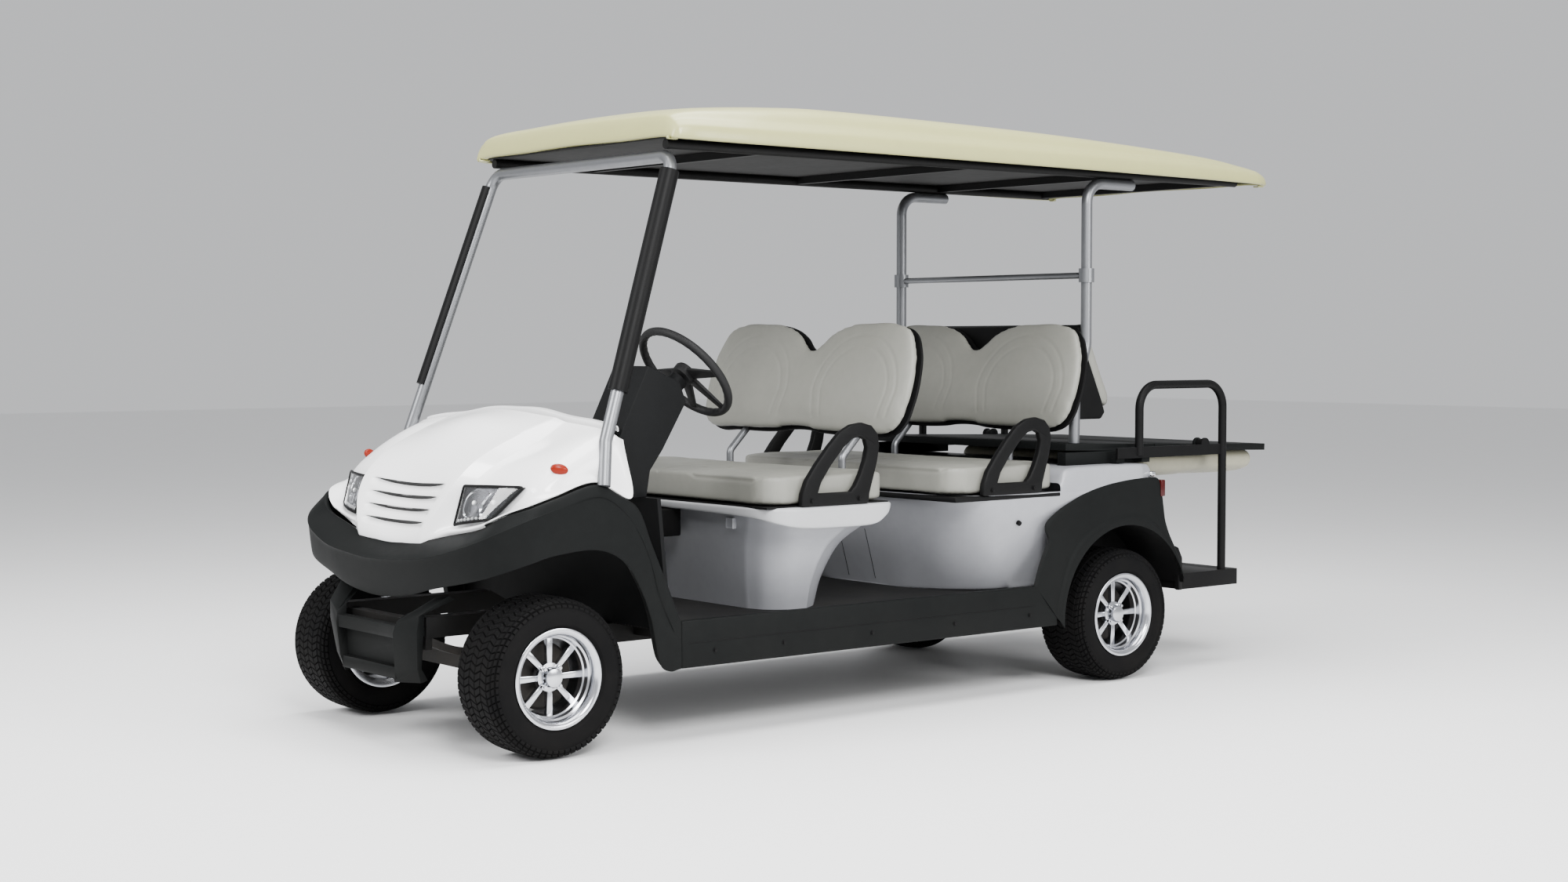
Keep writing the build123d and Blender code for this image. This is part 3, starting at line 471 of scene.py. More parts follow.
    @classmethod
    def plate(cls, name: str, outlines: Sequence[Sequence[tuple[float, float]]], thickness: float,
              curved: bool = False) -> "Piece":
        """Flat plate in the YZ plane, centred on X.

        Args:
            name: the piece's name.
            outlines: closed loops of (y, z) in metres; further ones are holes.
            thickness: the plate's size along X.
            curved: whether the outlines run smoothly through their points.

        Returns:
            The plate.
        """
        curve = bpy.data.curves.new(name, "CURVE")
        curve.dimensions = "2D"
        curve.fill_mode = "BOTH"
        curve.extrude = thickness / 2
        curve.resolution_u = 6 if curved else 1
        for outline in outlines:
            loop = curve.splines.new("BEZIER")
            loop.bezier_points.add(len(outline) - 1)
            for point, (y, z) in zip(loop.bezier_points, outline):
                point.co = (y, z, 0.0)
                point.handle_left_type = point.handle_right_type = "AUTO" if curved else "VECTOR"
            loop.use_cyclic_u = True
        upright = Matrix(((0, 0, 1, 0), (1, 0, 0, 0), (0, 1, 0, 0), (0, 0, 0, 1)))
        return cls.adopt(name, curve).to_mesh().move(upright).close_up()

    @classmethod
    def from_node(cls, name: str, node: str) -> "Piece":
        """A copy of a CAD node's mesh with its flat faces made whole again."""
        piece = cls.adopt(name, FRAME_NODES[node].data.copy())
        bpy.ops.object.mode_set(mode="EDIT")
        bpy.ops.mesh.select_all(action="SELECT")
        bpy.ops.mesh.remove_doubles(threshold=1e-5)
        bpy.ops.mesh.dissolve_limited(angle_limit=math.radians(0.6))
        bpy.ops.object.mode_set(mode="OBJECT")
        return piece

    def hold(self) -> None:
        """Makes this the only selected object."""
        deselect_all()
        self.obj.select_set(True)
        bpy.context.view_layer.objects.active = self.obj

    def settle(self) -> "Piece":
        """Puts the object's place, turn and size into its mesh."""
        self.hold()
        bpy.ops.object.transform_apply(location=True, rotation=True, scale=True)
        return self

    def move(self, matrix: Matrix) -> "Piece":
        """Moves the mesh, keeping its faces outwards."""
        self.obj.data.transform(matrix)
        if matrix.determinant() < 0:
            self.obj.data.flip_normals()
        self.obj.data.update()
        return self

    def close_up(self) -> "Piece":
        """Joins doubled points and turns faces outwards."""
        self.hold()
        bpy.ops.object.mode_set(mode="EDIT")
        bpy.ops.mesh.select_all(action="SELECT")
        bpy.ops.mesh.remove_doubles(threshold=1e-5)
        bpy.ops.mesh.normals_make_consistent(inside=False)
        bpy.ops.object.mode_set(mode="OBJECT")
        return self

    def faces(self, test: Callable[[bpy.types.MeshPolygon], bool]) -> "Piece":
        """Selects the faces that pass a test, in face mode, and stays in edit mode."""
        self.hold()
        bpy.ops.object.mode_set(mode="EDIT")
        bpy.ops.mesh.select_mode(type="FACE")
        bpy.ops.mesh.select_all(action="DESELECT")
        bpy.ops.object.mode_set(mode="OBJECT")
        for face in self.obj.data.polygons:
            face.select = test(face)
        bpy.ops.object.mode_set(mode="EDIT")
        return self

    def inset(self, thickness: float, depth: float = 0.0, each: bool = False) -> "Piece":
        """Insets the selected faces."""
        bpy.ops.mesh.inset(thickness=thickness, depth=depth, use_individual=each)
        return self

    def widen(self, scale: Point, centre: Point) -> "Piece":
        """Scales the selected faces about a point."""
        bpy.ops.transform.resize(value=scale, center_override=centre)
        return self

    def done(self) -> "Piece":
        """Leaves edit mode."""
        bpy.ops.object.mode_set(mode="OBJECT")
        return self

    def modify(self, kind: str, **settings: object) -> "Piece":
        """Adds one modifier of a kind with its settings, and applies it."""
        self.hold()
        modifier = self.obj.modifiers.new(kind.title(), kind)
        for key, setting in settings.items():
            setattr(modifier, key, setting)
        bpy.ops.object.modifier_apply(modifier=modifier.name)
        return self

    def soften(self, width: float, segments: int = 2, angle: float = 30.0) -> "Piece":
        """Rounds the edges that turn by more than an angle."""
        limit = math.radians(angle)
        bevel = {"width": width, "segments": segments, "limit_method": "ANGLE", "angle_limit": limit}
        return self.modify("BEVEL", **bevel).smooth()

    def thicken(self, thickness: float) -> "Piece":
        """Gives a sheet a wall behind its face."""
        return self.modify("SOLIDIFY", thickness=thickness, offset=-1.0)

    def subdivide(self) -> "Piece":
        """Applies one level of subdivision surface."""
        return self.modify("SUBSURF", levels=1, render_levels=1)

    def smooth(self, angle: float = 35.0) -> "Piece":
        """Shades smooth, except over sharp edges."""
        self.hold()
        bpy.ops.object.shade_smooth_by_angle(angle=math.radians(angle))
        return self

    def relief(self, shift: Callable[[Vector, Vector], Vector]) -> "Piece":
        """Moves each point by what a function of its place and normal says."""
        mesh = self.obj.data
        moves = [shift(v.co, v.normal) for v in mesh.vertices]
        for vertex, step in zip(mesh.vertices, moves):
            vertex.co += step
        mesh.update()
        return self

    def cut(self, tool: "Piece") -> "Piece":
        """Takes another piece's space out of this one, and deletes that piece."""
        self.modify("BOOLEAN", operation="DIFFERENCE", object=tool.obj, solver="EXACT")
        bpy.data.objects.remove(tool.obj)
        return self

    def join(self, *others: "Piece") -> "Piece":
        """Makes one object of this and others."""
        self.hold()
        for other in others:
            other.obj.select_set(True)
        bpy.ops.object.join()
        return self

    @staticmethod
    def united(name: str, pieces: Sequence["Piece"]) -> "Piece":
        """One piece of several, under a new name."""
        whole = pieces[0].join(*pieces[1:])
        whole.obj.name = name
        return whole

    def copy(self, name: str, matrix: Matrix) -> "Piece":
        """A copy with its own mesh, moved."""
        obj = self.obj.copy()
        obj.data = self.obj.data.copy()
        bpy.context.collection.objects.link(obj)
        obj.name = name
        obj.data.name = name
        twin = Piece.__new__(Piece)
        twin.obj = obj
        return twin.move(matrix)

    def both_sides(self) -> "Piece":
        """Adds the mirror image on the cart's other side."""
        twin = self.copy(self.obj.name + "_twin", Matrix.Scale(-1, 4, (1, 0, 0)))
        return self.join(twin)

    def finish(self, finish: "Finish", *stands_for: str, body: str = "chassis") -> "Piece":
        """Paints the piece and gives it to a body.

        Args:
            finish: the finish of all its faces.
            stands_for: the CAD nodes that it replaces.
            body: the body that it rides on.

        Returns:
            This piece.
        """
        self.obj.data.materials.clear()
        self.obj.data.materials.append(PAINTS.material(finish))
        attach(self.obj, body)
        if stands_for:
            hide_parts(*stands_for)
        log.info("%s rides on %s", self.obj.name, body)
        return self


class PaintShelf:
    """Materials made so far, one a finish."""

    def __init__(self) -> None:
        """Starts empty."""
        self.made: dict[str, bpy.types.Material] = {}

    def material(self, finish: Finish) -> bpy.types.Material:
        """The material of a finish, made at its first use."""
        if finish.name not in self.made:
            self.made[finish.name] = finish.paint()
        return self.made[finish.name]


PAINTS = PaintShelf()
# ---- finishes ----
CREAM = Finish("cream_roof", "cream", (0.36, 0.355, 0.150), (0.335, 0.33, 0.140), 0.36, coat=0.15,
               grain=Grain.ORANGE_PEEL, grain_size=0.006, depth=0.00008, grime=0.05)
WHITE = Finish("white_hood", "white", (0.94, 0.94, 0.94), (0.91, 0.91, 0.91), 0.24, coat=0.5,
               grain=Grain.ORANGE_PEEL, grain_size=0.006, depth=0.00005, grime=0.02)
GREY_PANEL = Finish("grey_panel", "grey_panel", (0.29, 0.295, 0.315), (0.26, 0.265, 0.285), 0.40,
                    metallic=0.1, coat=0.15, grain=Grain.CAST, grain_size=0.004, depth=0.0001, grime=0.05)
CHARCOAL = Finish("charcoal_trim", "black_trim", (0.0045, 0.0050, 0.0050), (0.0060, 0.0066, 0.0066), 0.56,
                  grain=Grain.PEBBLE, grain_size=0.0022, depth=0.00022, grime=0.01, specular=0.06)
DASH_BLACK = Finish("dash_black", "black_trim", (0.0040, 0.0042, 0.0044), (0.0052, 0.0055, 0.0058), 0.54,
                    grain=Grain.PEBBLE, grain_size=0.0018, depth=0.0002, grime=0.005, specular=0.07)
FRAME_BLACK = Finish("frame_black", "frame_black", (0.0035, 0.0035, 0.0036), (0.0060, 0.0058, 0.0056), 0.58,
                     grain=Grain.CAST, grain_size=0.006, depth=0.0002, grime=0.04, specular=0.15)
SILVER_TUBE = Finish("silver_tube", "silver_tube", (0.195, 0.20, 0.21), (0.165, 0.17, 0.18), 0.38,
                     metallic=0.8, grain=Grain.BRUSHED, grain_size=0.0012, depth=0.00001, grime=0.02)
POLISHED = Finish("polished_rim", "polished", (0.58, 0.59, 0.62), (0.46, 0.47, 0.50), 0.20, metallic=1.0,
                  coat=0.3, grain=Grain.BRUSHED, grain_size=0.0015, depth=0.00003, grime=0.04)
RUBBER = Finish("tyre_rubber", "tyre_rubber", (0.0026, 0.0026, 0.0029), (0.0040, 0.0039, 0.0040), 0.70,
                grain=Grain.CAST, grain_size=0.0016, depth=0.00015, patch_size=0.12, grime=0.01,
                specular=0.06)
VINYL = Finish("seat_vinyl", "vinyl", (0.200, 0.200, 0.176), (0.180, 0.180, 0.158), 0.50,
               grain=Grain.PEBBLE, grain_size=0.0028, depth=0.0002, grime=0.0)
CREAM_VINYL = Finish("cream_vinyl", "vinyl", (0.285, 0.274, 0.205), (0.25, 0.241, 0.18), 0.48,
                     grain=Grain.PEBBLE, grain_size=0.0028, depth=0.0002, grime=0.0)
SHELL_BLACK = Finish("shell_black", "black_trim", (0.0036, 0.0036, 0.0037), (0.0050, 0.0050, 0.0052), 0.46,
                     grain=Grain.PEBBLE, grain_size=0.002, depth=0.00015, grime=0.005, specular=0.08)
MAT_RUBBER = Finish("floor_mat", "grip", (0.0080, 0.0080, 0.0084), (0.0125, 0.0125, 0.0125), 0.66,
                    grain=Grain.RIBBED, grain_size=0.004, depth=0.0012, grime=0.04, specular=0.15)
GRIP = Finish("soft_grip", "grip", (0.0065, 0.0065, 0.0070), (0.0110, 0.0110, 0.0110), 0.6,
              grain=Grain.PEBBLE, grain_size=0.0014, depth=0.00025, grime=0.0, specular=0.2)
LENS = Finish("clear_lens", "lens", (0.97, 0.98, 0.99), (0.95, 0.96, 0.97), 0.012, transmission=1.0,
              depth=0.00002, grime=0.0)
CHROME = Finish("chrome", "polished", (0.88, 0.89, 0.91), (0.78, 0.79, 0.81), 0.08, metallic=1.0,
                depth=0.00001, grime=0.0)
AMBER = Finish("amber_lens", "amber", (0.21, 0.010, 0.001), (0.17, 0.008, 0.001), 0.30,
               depth=0.00002, grime=0.0, glow=0.02, specular=0.2)
RED_LENS = Finish("red_lens", "red_lens", (0.045, 0.001, 0.001), (0.035, 0.001, 0.001), 0.24, coat=0.1,
                  depth=0.00002, grime=0.0, glow=0.02, specular=0.3)
STEEL = Finish("bare_steel", "steel", (0.42, 0.42, 0.43), (0.30, 0.28, 0.26), 0.38, metallic=0.9,
               grain=Grain.CAST, grain_size=0.003, depth=0.0001, grime=0.1)
IRON = Finish("cast_iron", "iron", (0.0120, 0.0120, 0.0122), (0.0260, 0.0220, 0.0190), 0.66, metallic=0.2,
              grain=Grain.CAST, grain_size=0.004, depth=0.0005, grime=0.05, specular=0.25)
LAMP_HOUSING = Finish("lamp_housing", "polished", (0.030, 0.030, 0.032), (0.060, 0.060, 0.065), 0.22,
                      metallic=1.0, depth=0.00001, grime=0.0)
LIGHT_RIM = Finish("light_grey_rim", "grey_panel", (0.40, 0.405, 0.415), (0.37, 0.375, 0.385), 0.34, coat=0.2,
                   grain=Grain.ORANGE_PEEL, grain_size=0.005, depth=0.00005)
LINER = Finish("roof_underside", "liner", (0.0105, 0.0105, 0.0100), (0.0135, 0.0135, 0.0130), 0.66,
               grain=Grain.ORANGE_PEEL, grain_size=0.005, depth=0.0001, grime=0.0, specular=0.12)

FLOOR = Finish("studio_floor", "", (0.86, 0.86, 0.86), (0.84, 0.84, 0.84), 0.6, depth=0.00001, grime=0.0)

# CAD nodes that stay in view
CARRIED_OVER = {
    LINER: ("roof_liner",),
    FRAME_BLACK: ("roof_rails", "chassis_frame", "drive_motor", "pedals"),
    SHELL_BLACK: ("strut_covers", "grab_rails"),
    SILVER_TUBE: ("strut_crossbar", "rear_struts"),
    DASH_BLACK: ("front_bulkhead", "steering_column"),
    MAT_RUBBER: ("floor_pan",),
    IRON: ("leaf_springs", "front_axle", "rear_axle", "knuckle_left", "knuckle_right"),
    STEEL: ("tie_rod",),
}


def repaint_nodes(nodes: dict[str, bpy.types.Object]) -> None:
    """Gives each CAD node that stays in view its finish."""
    for finish, names in CARRIED_OVER.items():
        for name in names:
            for slot in nodes[name].material_slots:
                slot.material = PAINTS.material(finish)
        log.info("%s on %s", finish.name, ", ".join(names))


# ---- wheels ----
CORNERS = ("front_left", "front_right", "rear_left", "rear_right")


@dataclass
class Wheel:
    """Tyre with block tread on a deep rim, modelled for the left side and copied to each corner."""

    radius: float = 0.230
    blocks: int = 66
    groove: float = 0.0065
    block_edge: float = 0.0026
    lean: float = 0.32
    nut_circle: float = 0.036
    spokes: int = 8
    disc_x: float = 0.038
    wall_r: float = 0.1185

    def tyre(self) -> Piece:
        """Carcass spun from its section, with tread blocks raised from its faces."""
        floor = self.radius - self.groove
        half = (
            (0.0915, 0.1285), (0.0915, 0.1455), (0.0955, 0.1500), (0.1000, 0.1550), (0.1018, 0.1640),
            (0.1024, 0.1780), (0.1012, 0.1900), (0.0985, 0.2000), (0.0935, 0.2105), (0.0845, 0.2180),
            (0.0700, floor - 0.0020), (0.0420, floor - 0.0005), (0.0140, floor),
        )
        loop = list(half) + [(-x, r) for x, r in reversed(half)] + [half[0]]
        tyre = Piece.lathe("tread", loop, self.blocks).relief(self.zigzag)
        tyre.faces(self.is_tread).inset(self.block_edge, self.groove * 0.8, each=True).done()
        return tyre.smooth(28)

    def is_tread(self, face: bpy.types.MeshPolygon) -> bool:
        """Whether a face is of the tread or shoulder."""
        return math.hypot(face.center.y, face.center.z) > 0.204 and abs(face.center.x) < 0.097

    def zigzag(self, place: Vector, normal: Vector) -> Vector:
        """Turns the tread's points about the axle to and fro, so the blocks lean."""
        if math.hypot(place.y, place.z) < 0.199:
            return Vector((0, 0, 0))
        lean = self.lean * math.tau / self.blocks * math.sin(place.x / 0.056 * math.tau)
        return Matrix.Rotation(lean, 3, "X") @ place - place

    def rim(self) -> Piece:
        """Barrel with its lips, spokes, hub, cap and nuts."""
        section = (
            (0.0930, 0.1436), (0.0955, 0.1440), (0.0968, 0.1420), (0.0962, 0.1345), (0.0925, 0.1290),
            (0.0860, 0.1235), (0.0700, 0.1215), (0.0660, 0.1165), (0.0500, 0.1150), (0.0470, 0.1110),
            (0.0280, 0.1100), (0.0240, 0.1180), (-0.0900, 0.1185), (-0.0962, 0.1345), (-0.0968, 0.1436),
            (-0.0930, 0.1436), (-0.0905, 0.1268), (0.0905, 0.1268), (0.0930, 0.1436),
        )
        rim = Piece.lathe("rim_barrel", section, 96).smooth(40)
        spokes = [self.spoke(k) for k in range(self.spokes)]
        nuts = [self.nut(k) for k in range(self.spokes // 2)]
        return rim.join(*spokes, self.hub(), *nuts)

    def spoke(self, index: int) -> Piece:
        """One slender spoke, wider at its rim end."""
        x = self.disc_x
        spoke = Piece.block("spoke", (x - 0.006, -0.0046, 0.036), (x + 0.006, 0.0046, self.wall_r - 0.006))
        spoke.faces(lambda face: face.normal.z > 0.9).widen((1.3, 2.3, 1.0), (x, 0, 0)).done()
        spoke.faces(lambda face: face.normal.z < -0.9).widen((1.5, 1.7, 1.0), (x, 0, 0)).done()
        spoke.soften(0.0022)
        return spoke.move(Matrix.Rotation(math.tau * index / self.spokes, 4, "X"))

    def hub(self) -> Piece:
        """Hub with its raised cap."""
        x = self.disc_x
        section = (
            (x - 0.018, 0.0), (x - 0.018, 0.042), (x + 0.004, 0.0435), (x + 0.010, 0.041),
            (x + 0.012, 0.0300), (x + 0.030, 0.0285), (x + 0.034, 0.0260), (x + 0.0365, 0.0170),
            (x + 0.0375, 0.0),
        )
        return Piece.lathe("hub", section, 48).smooth(40)

    def nut(self, index: int) -> Piece:
        """One wheel nut on its stud."""
        turn = Matrix.Rotation(math.tau * (index + 0.5) / (self.spokes // 2), 4, "X")
        nut = Piece.disc("nut", (self.disc_x + 0.012, 0, self.nut_circle), 0.0095, 0.016, (1, 0, 0), 6)
        stud = Piece.disc("stud", (self.disc_x + 0.022, 0, self.nut_circle), 0.0045, 0.010, (1, 0, 0), 12)
        return nut.soften(0.0012).join(stud).move(turn)

    def drum(self) -> Piece:
        """Dark brake drum behind the spokes."""
        section = (
            (-0.0565, 0.0), (-0.0565, 0.096), (0.000, 0.098), (0.008, 0.090), (0.010, 0.050), (0.010, 0.0),
        )
        return Piece.lathe("brake_drum", section, 48).smooth(40)

    def build(self) -> None:
        """Copies the wheel to the four corners."""
        parts = (("tread", self.tyre(), RUBBER, "tyre_"), ("alloy", self.rim(), POLISHED, "rim_"),
                 ("drum", self.drum(), IRON, ""))
        for corner in CORNERS:
            low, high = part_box("tyre_" + corner)
            centre = (low + high) / 2
            side = 1 if corner.endswith("left") else -1
            place = Matrix.Translation(centre) @ Matrix.Scale(side, 4, (1, 0, 0))
            for kind, part, finish, node in parts:
                stands_for = [node + corner] if node else []
                part.copy(f"{kind}_{corner}", place).finish(finish, *stands_for, body="wheel_" + corner)
        for _, part, _, _ in parts:
            bpy.data.objects.remove(part.obj)


# ---- nose ----
@dataclass
class Nose:
    """Hood, cowl, fender band, lamps and turn signals."""

    hood_wall: float = 0.004
    crowding: float = 1.3
    louvres: int = 4
    louvre_depth: float = 0.013
    louvre_height: float = 0.024
    louvre_peak: float = 0.62
    louvre_smile: float = 0.25
    louvre_half_width: float = 0.205
    louvre_z: float = 0.628
    louvre_step: float = 0.036
    louvre_shift: float = 0.012
    louvre_run_out: float = 0.012
    shade_middle: float = 0.80
    shade_share: float = 0.44
    bowls: tuple[tuple[float, float], ...] = ((0.34, 0.28), (0.72, 0.24))
    lamp_bulge: float = 0.012
    lamp_middle: float = 0.54
    signal_place: Point = (0.5535, -1.4165, 0.818)
    signal_size: Point = (0.011, 0.026, 0.016)
    signal_turn: float = -25.0
    signal_tilt: float = -12.0

    # rows from the nose's foot up to the cowl: middle, crease, lamp's inner line, lamp's outer line, edge
    HOOD = (
        ((0, -1640, 566), (186, -1640, 574), (276, -1600, 604), (380, -1580, 620), (448, -1560, 632)),
        ((0, -1655, 594), (186, -1655, 602), (276, -1620, 633), (380, -1606, 650), (448, -1600, 662)),
        ((0, -1634, 640), (212, -1646, 652), (288, -1590, 652), (430, -1549, 676), (520, -1580, 698)),
        ((0, -1598, 715), (252, -1620, 716), (284, -1568, 706), (470, -1519, 722), (570, -1534, 722)),
        ((0, -1564, 783), (268, -1580, 782), (290, -1544, 760), (520, -1484, 776), (578, -1442, 748)),
        ((0, -1504, 856), (276, -1502, 848), (304, -1468, 824), (536, -1396, 838), (580, -1308, 780)),
        ((0, -1389, 940), (280, -1370, 910), (316, -1340, 884), (546, -1306, 880), (582, -1186, 730)),
        ((0, -1258, 971), (282, -1252, 954), (324, -1244, 942), (520, -1238, 924), (574, -1214, 896)),
    )
    # x, y, inward x, inward y, lower z, lower inset, crease z, upper z, upper inset
    BAND = (
        (0, -1717, 0.0, 1.0, 433, 20, 541, 588, 62),
        (170, -1713, -0.05, 1.0, 446, 18, 550, 600, 66),
        (311, -1702, -0.12, 0.99, 476, 15, 566, 624, 72),
        (474, -1672, -0.35, 0.94, 507, 12, 606, 652, 62),
        (560, -1620, -0.8, 0.6, 533, 10, 645, 686, 45),
        (600, -1540, -1.0, 0.0, 560, 8, 680, 710, 22),
        (600, -1446, -1.0, 0.0, 581, 8, 706, 738, 18),
        (600, -1312, -1.0, 0.0, 589, 8, 735, 772, 18),
        (600, -1223, -1.0, 0.0, 550, 6, 690, 733, 16),
        (600, -1169, -1.0, 0.0, 474, 4, 622, 694, 14),
        (600, -1130, -1.0, 0.0, 380, 4, 540, 603, 12),
        (600, -1101, -1.0, 0.0, 252, 2, 440, 536, 12),
        (600, -1064, -1.0, 0.0, 219, 2, 360, 454, 12),
        (600, -1023, -1.0, 0.0, 219, 2, 300, 362, 12),
    )
    # x, height of the line across the rear of the hood
    COWL = ((0, 979), (130, 977), (275, 959), (400, 950), (480, 941), (516, 934))
    # lower inner, upper inner, upper outer and lower outer corner of the left lamp
    LAMP = ((296, -1603, 654), (290, -1566, 764), (508, -1503, 768), (436, -1566, 676))
    # round the lamp's edge in shares of its width and height
    LAMP_EDGE = ((0, 0), (0, 0.5), (0, 1), (0.33, 1), (0.66, 1), (1, 1), (1, 0.5), (1, 0), (0.66, 0),
                 (0.33, 0), (0, 0))

    def louvre_relief(self, place: Vector, normal: Vector) -> Vector:
        """Sinks the smiling louvres into the middle of the nose."""
        if place.y > -1.55 or abs(place.x) > self.louvre_half_width:
            return Vector((0, 0, 0))
        dip = 0.0
        for index in range(self.louvres):
            z = self.louvre_z + index * self.louvre_step + self.louvre_smile * place.x * place.x
            up = (place.z - z) / self.louvre_height
            half = self.louvre_half_width - 0.030 + self.louvre_shift * index
            end = max(0.0, min(1.0, (half - abs(place.x)) / self.louvre_run_out))
            slope = min(up / self.louvre_peak, (1 - up) / (1 - self.louvre_peak))
            dip = max(dip, end * max(0.0, slope))
        return Vector((0, dip * self.louvre_depth, 0))

    def paint_louvre_shade(self, hood: Piece) -> None:
        """Black strips laid on the hood's skin along the steep side of each louvre, as painted shade in its
        hollow.
        """
        strips = []
        for index in range(self.louvres):
            half = self.louvre_half_width - 0.036 + self.louvre_shift * index
            base = self.louvre_z + index * self.louvre_step

            def place(u: float, v: float) -> Vector:
                """Along the louvre and across its steep side."""
                x = half * (2 * u - 1)
                taper = 1 - abs(2 * u - 1) ** 4
                share = self.shade_middle + (v - 0.5) * self.shade_share * taper
                z = base + self.louvre_smile * x * x + share * self.louvre_height
                hit, spot, _, _ = hood.obj.ray_cast(Vector((x, -2.0, z)), Vector((0, 1, 0)))
                return (spot if hit else Vector((x, -1.6, z))) + Vector((0, -0.0008, 0))

            # Painted shade: each black strip lies on the hood's skin where the louvre's shadow falls.
            strips.append(Piece.sheet("louvre_slots", 40, 2, place).thicken(0.0006))
        Piece.united("louvre_slots", strips).smooth().finish(SHELL_BLACK)

    def hood(self) -> None:
        """The white hood, in one smooth skin with two creases a side, the louvres and black strips of painted
        shade in them.
        """
        patch = Patch([mirrored(row) for row in self.HOOD], sharp_columns=(2, 3, 5, 6))
        hood = Piece.sheet("hood_skin", 150, 220, lambda u, v: patch.at(v ** self.crowding, u)).smooth()
        hood.relief(self.louvre_relief).thicken(self.hood_wall).smooth(50)
        self.paint_louvre_shade(hood)
        hood.finish(WHITE, "hood")

    def cowl(self) -> None:
        """White strip across the rear of the hood, behind a black sheet of painted shade in the gap."""
        def strip(drops: Sequence[tuple[float, float]]) -> Patch:
            """Sheet from a y and a drop below the cowl's line for each row."""
            return Patch([mirrored([(x, y, z - drop) for x, z in self.COWL]) for y, drop in drops])

        cowl = strip(((-1228, 26), (-1227, 4), (-1222, 0), (-1196, -1), (-1188, 3), (-1187, 16)))
        cowl.panel("cowl_strip", 60, 14, 0.003).finish(WHITE, "hood")
        # Painted shade: the black sheet under the cowl stands in for the shadow inside the gap behind the
        # hood.
        under = strip(((-1290, 66), (-1262, 44), (-1224, 14)))
        under.panel("hood_gap", 60, 8, 0.002).finish(SHELL_BLACK)

    def band(self) -> None:
        """The charcoal panel round the nose and over the wheels, with rolled edges."""
        stations = []
        for x, y, nx, ny, low_z, low_in, mid_z, top_z, top_in in self.BAND:
            section = ((low_z + 10, low_in + 24), (low_z, low_in + 8), (low_z + 10, low_in - 1),
                       (mid_z - 8, 1), (mid_z + 6, 2), (top_z - 7, top_in - 9), (top_z, top_in),
                       (top_z - 8, top_in + 14))
            stations.append([(x + nx * depth, y + ny * depth, z) for z, depth in section])
        patch = Patch([mirrored(row) for row in zip(*stations)])
        patch.panel("fender_band", 200, 36, 0.004).finish(CHARCOAL, "front_fenders")

    def in_lamp(self, u: float, v: float, out: float) -> Vector:
        """Place in the left lamp at shares of its width and height, and a distance out."""
        inner = [Vector(p) * MM for p in self.LAMP]
        low = inner[0].lerp(inner[3], u)
        high = inner[1].lerp(inner[2], u)
        bulge = 4 * u * (1 - u) * self.lamp_bulge
        return low.lerp(high, v) + Vector((0.1, -1.0, 0.1)).normalized() * (bulge + out)

    def lamps(self) -> None:
        """Clear lenses with dark rims over bright reflectors, and amber signals."""
        lens = Piece.sheet("headlight_lens", 24, 16, lambda u, v: self.in_lamp(u, v, 0.004))
        lens.thicken(0.003).smooth().both_sides().finish(LENS, "headlights")
        ribbed = Piece.sheet("headlight_housing", 40, 6,
                             lambda u, v: self.in_lamp(u, v, -0.003 - 0.004 * (u * 9 % 1)))
        ribbed.thicken(0.002).both_sides().finish(LAMP_HOUSING)
        bowls = [self.bowl(centre, radius) for centre, radius in self.bowls]
        Piece.united("headlight_bowls", bowls).smooth(60).both_sides().finish(CHROME)
        spots = [((centre, self.lamp_middle, -0.002), 0.0075) for centre, _ in self.bowls]
        spots += [((0.10 + 0.10 * k, 0.09, -0.001), 0.0046) for k in range(8)]
        bulbs = [Piece.ball("bulb", self.in_lamp(*spot), radius).smooth(80) for spot, radius in spots]
        Piece.united("bulbs", bulbs).both_sides().finish(WHITE)
        edge = [self.in_lamp(u, v, 0.003) for u, v in self.LAMP_EDGE]
        Piece.tube("headlight_rim", edge, 0.0045, 0.006, 3).both_sides().finish(SHELL_BLACK)
        signal = Piece.ball("turn_signal", (0, 0, 0), 1.0)
        turn = Matrix.Rotation(math.radians(self.signal_turn), 4, "Z")
        turn @= Matrix.Rotation(math.radians(self.signal_tilt), 4, "X")
        size = Matrix.Diagonal((*self.signal_size, 1.0))
        signal.move(Matrix.Translation(self.signal_place) @ turn @ size).smooth(80)
        signal.both_sides().finish(AMBER, "turn_signals")

    def bowl(self, centre: float, radius: float) -> Piece:
        """One reflector, its middle and half width given as shares of the lamp's width."""
        def place(u: float, v: float) -> Vector:
            """Rings round the middle, deeper inwards."""
            angle = math.tau * u
            reach = 0.04 + 0.96 * v
            across = centre + radius * 0.86 * reach * math.cos(angle)
            up = self.lamp_middle + 0.40 * reach * math.sin(angle)
            return self.in_lamp(across, up, -0.0285 * (1 - reach * reach) - 0.0015)

        return Piece.sheet("bowl", 24, 24, place)

    def build(self) -> None:
        """Builds the whole nose."""
        self.hood()
        self.cowl()
        self.band()
        self.lamps()


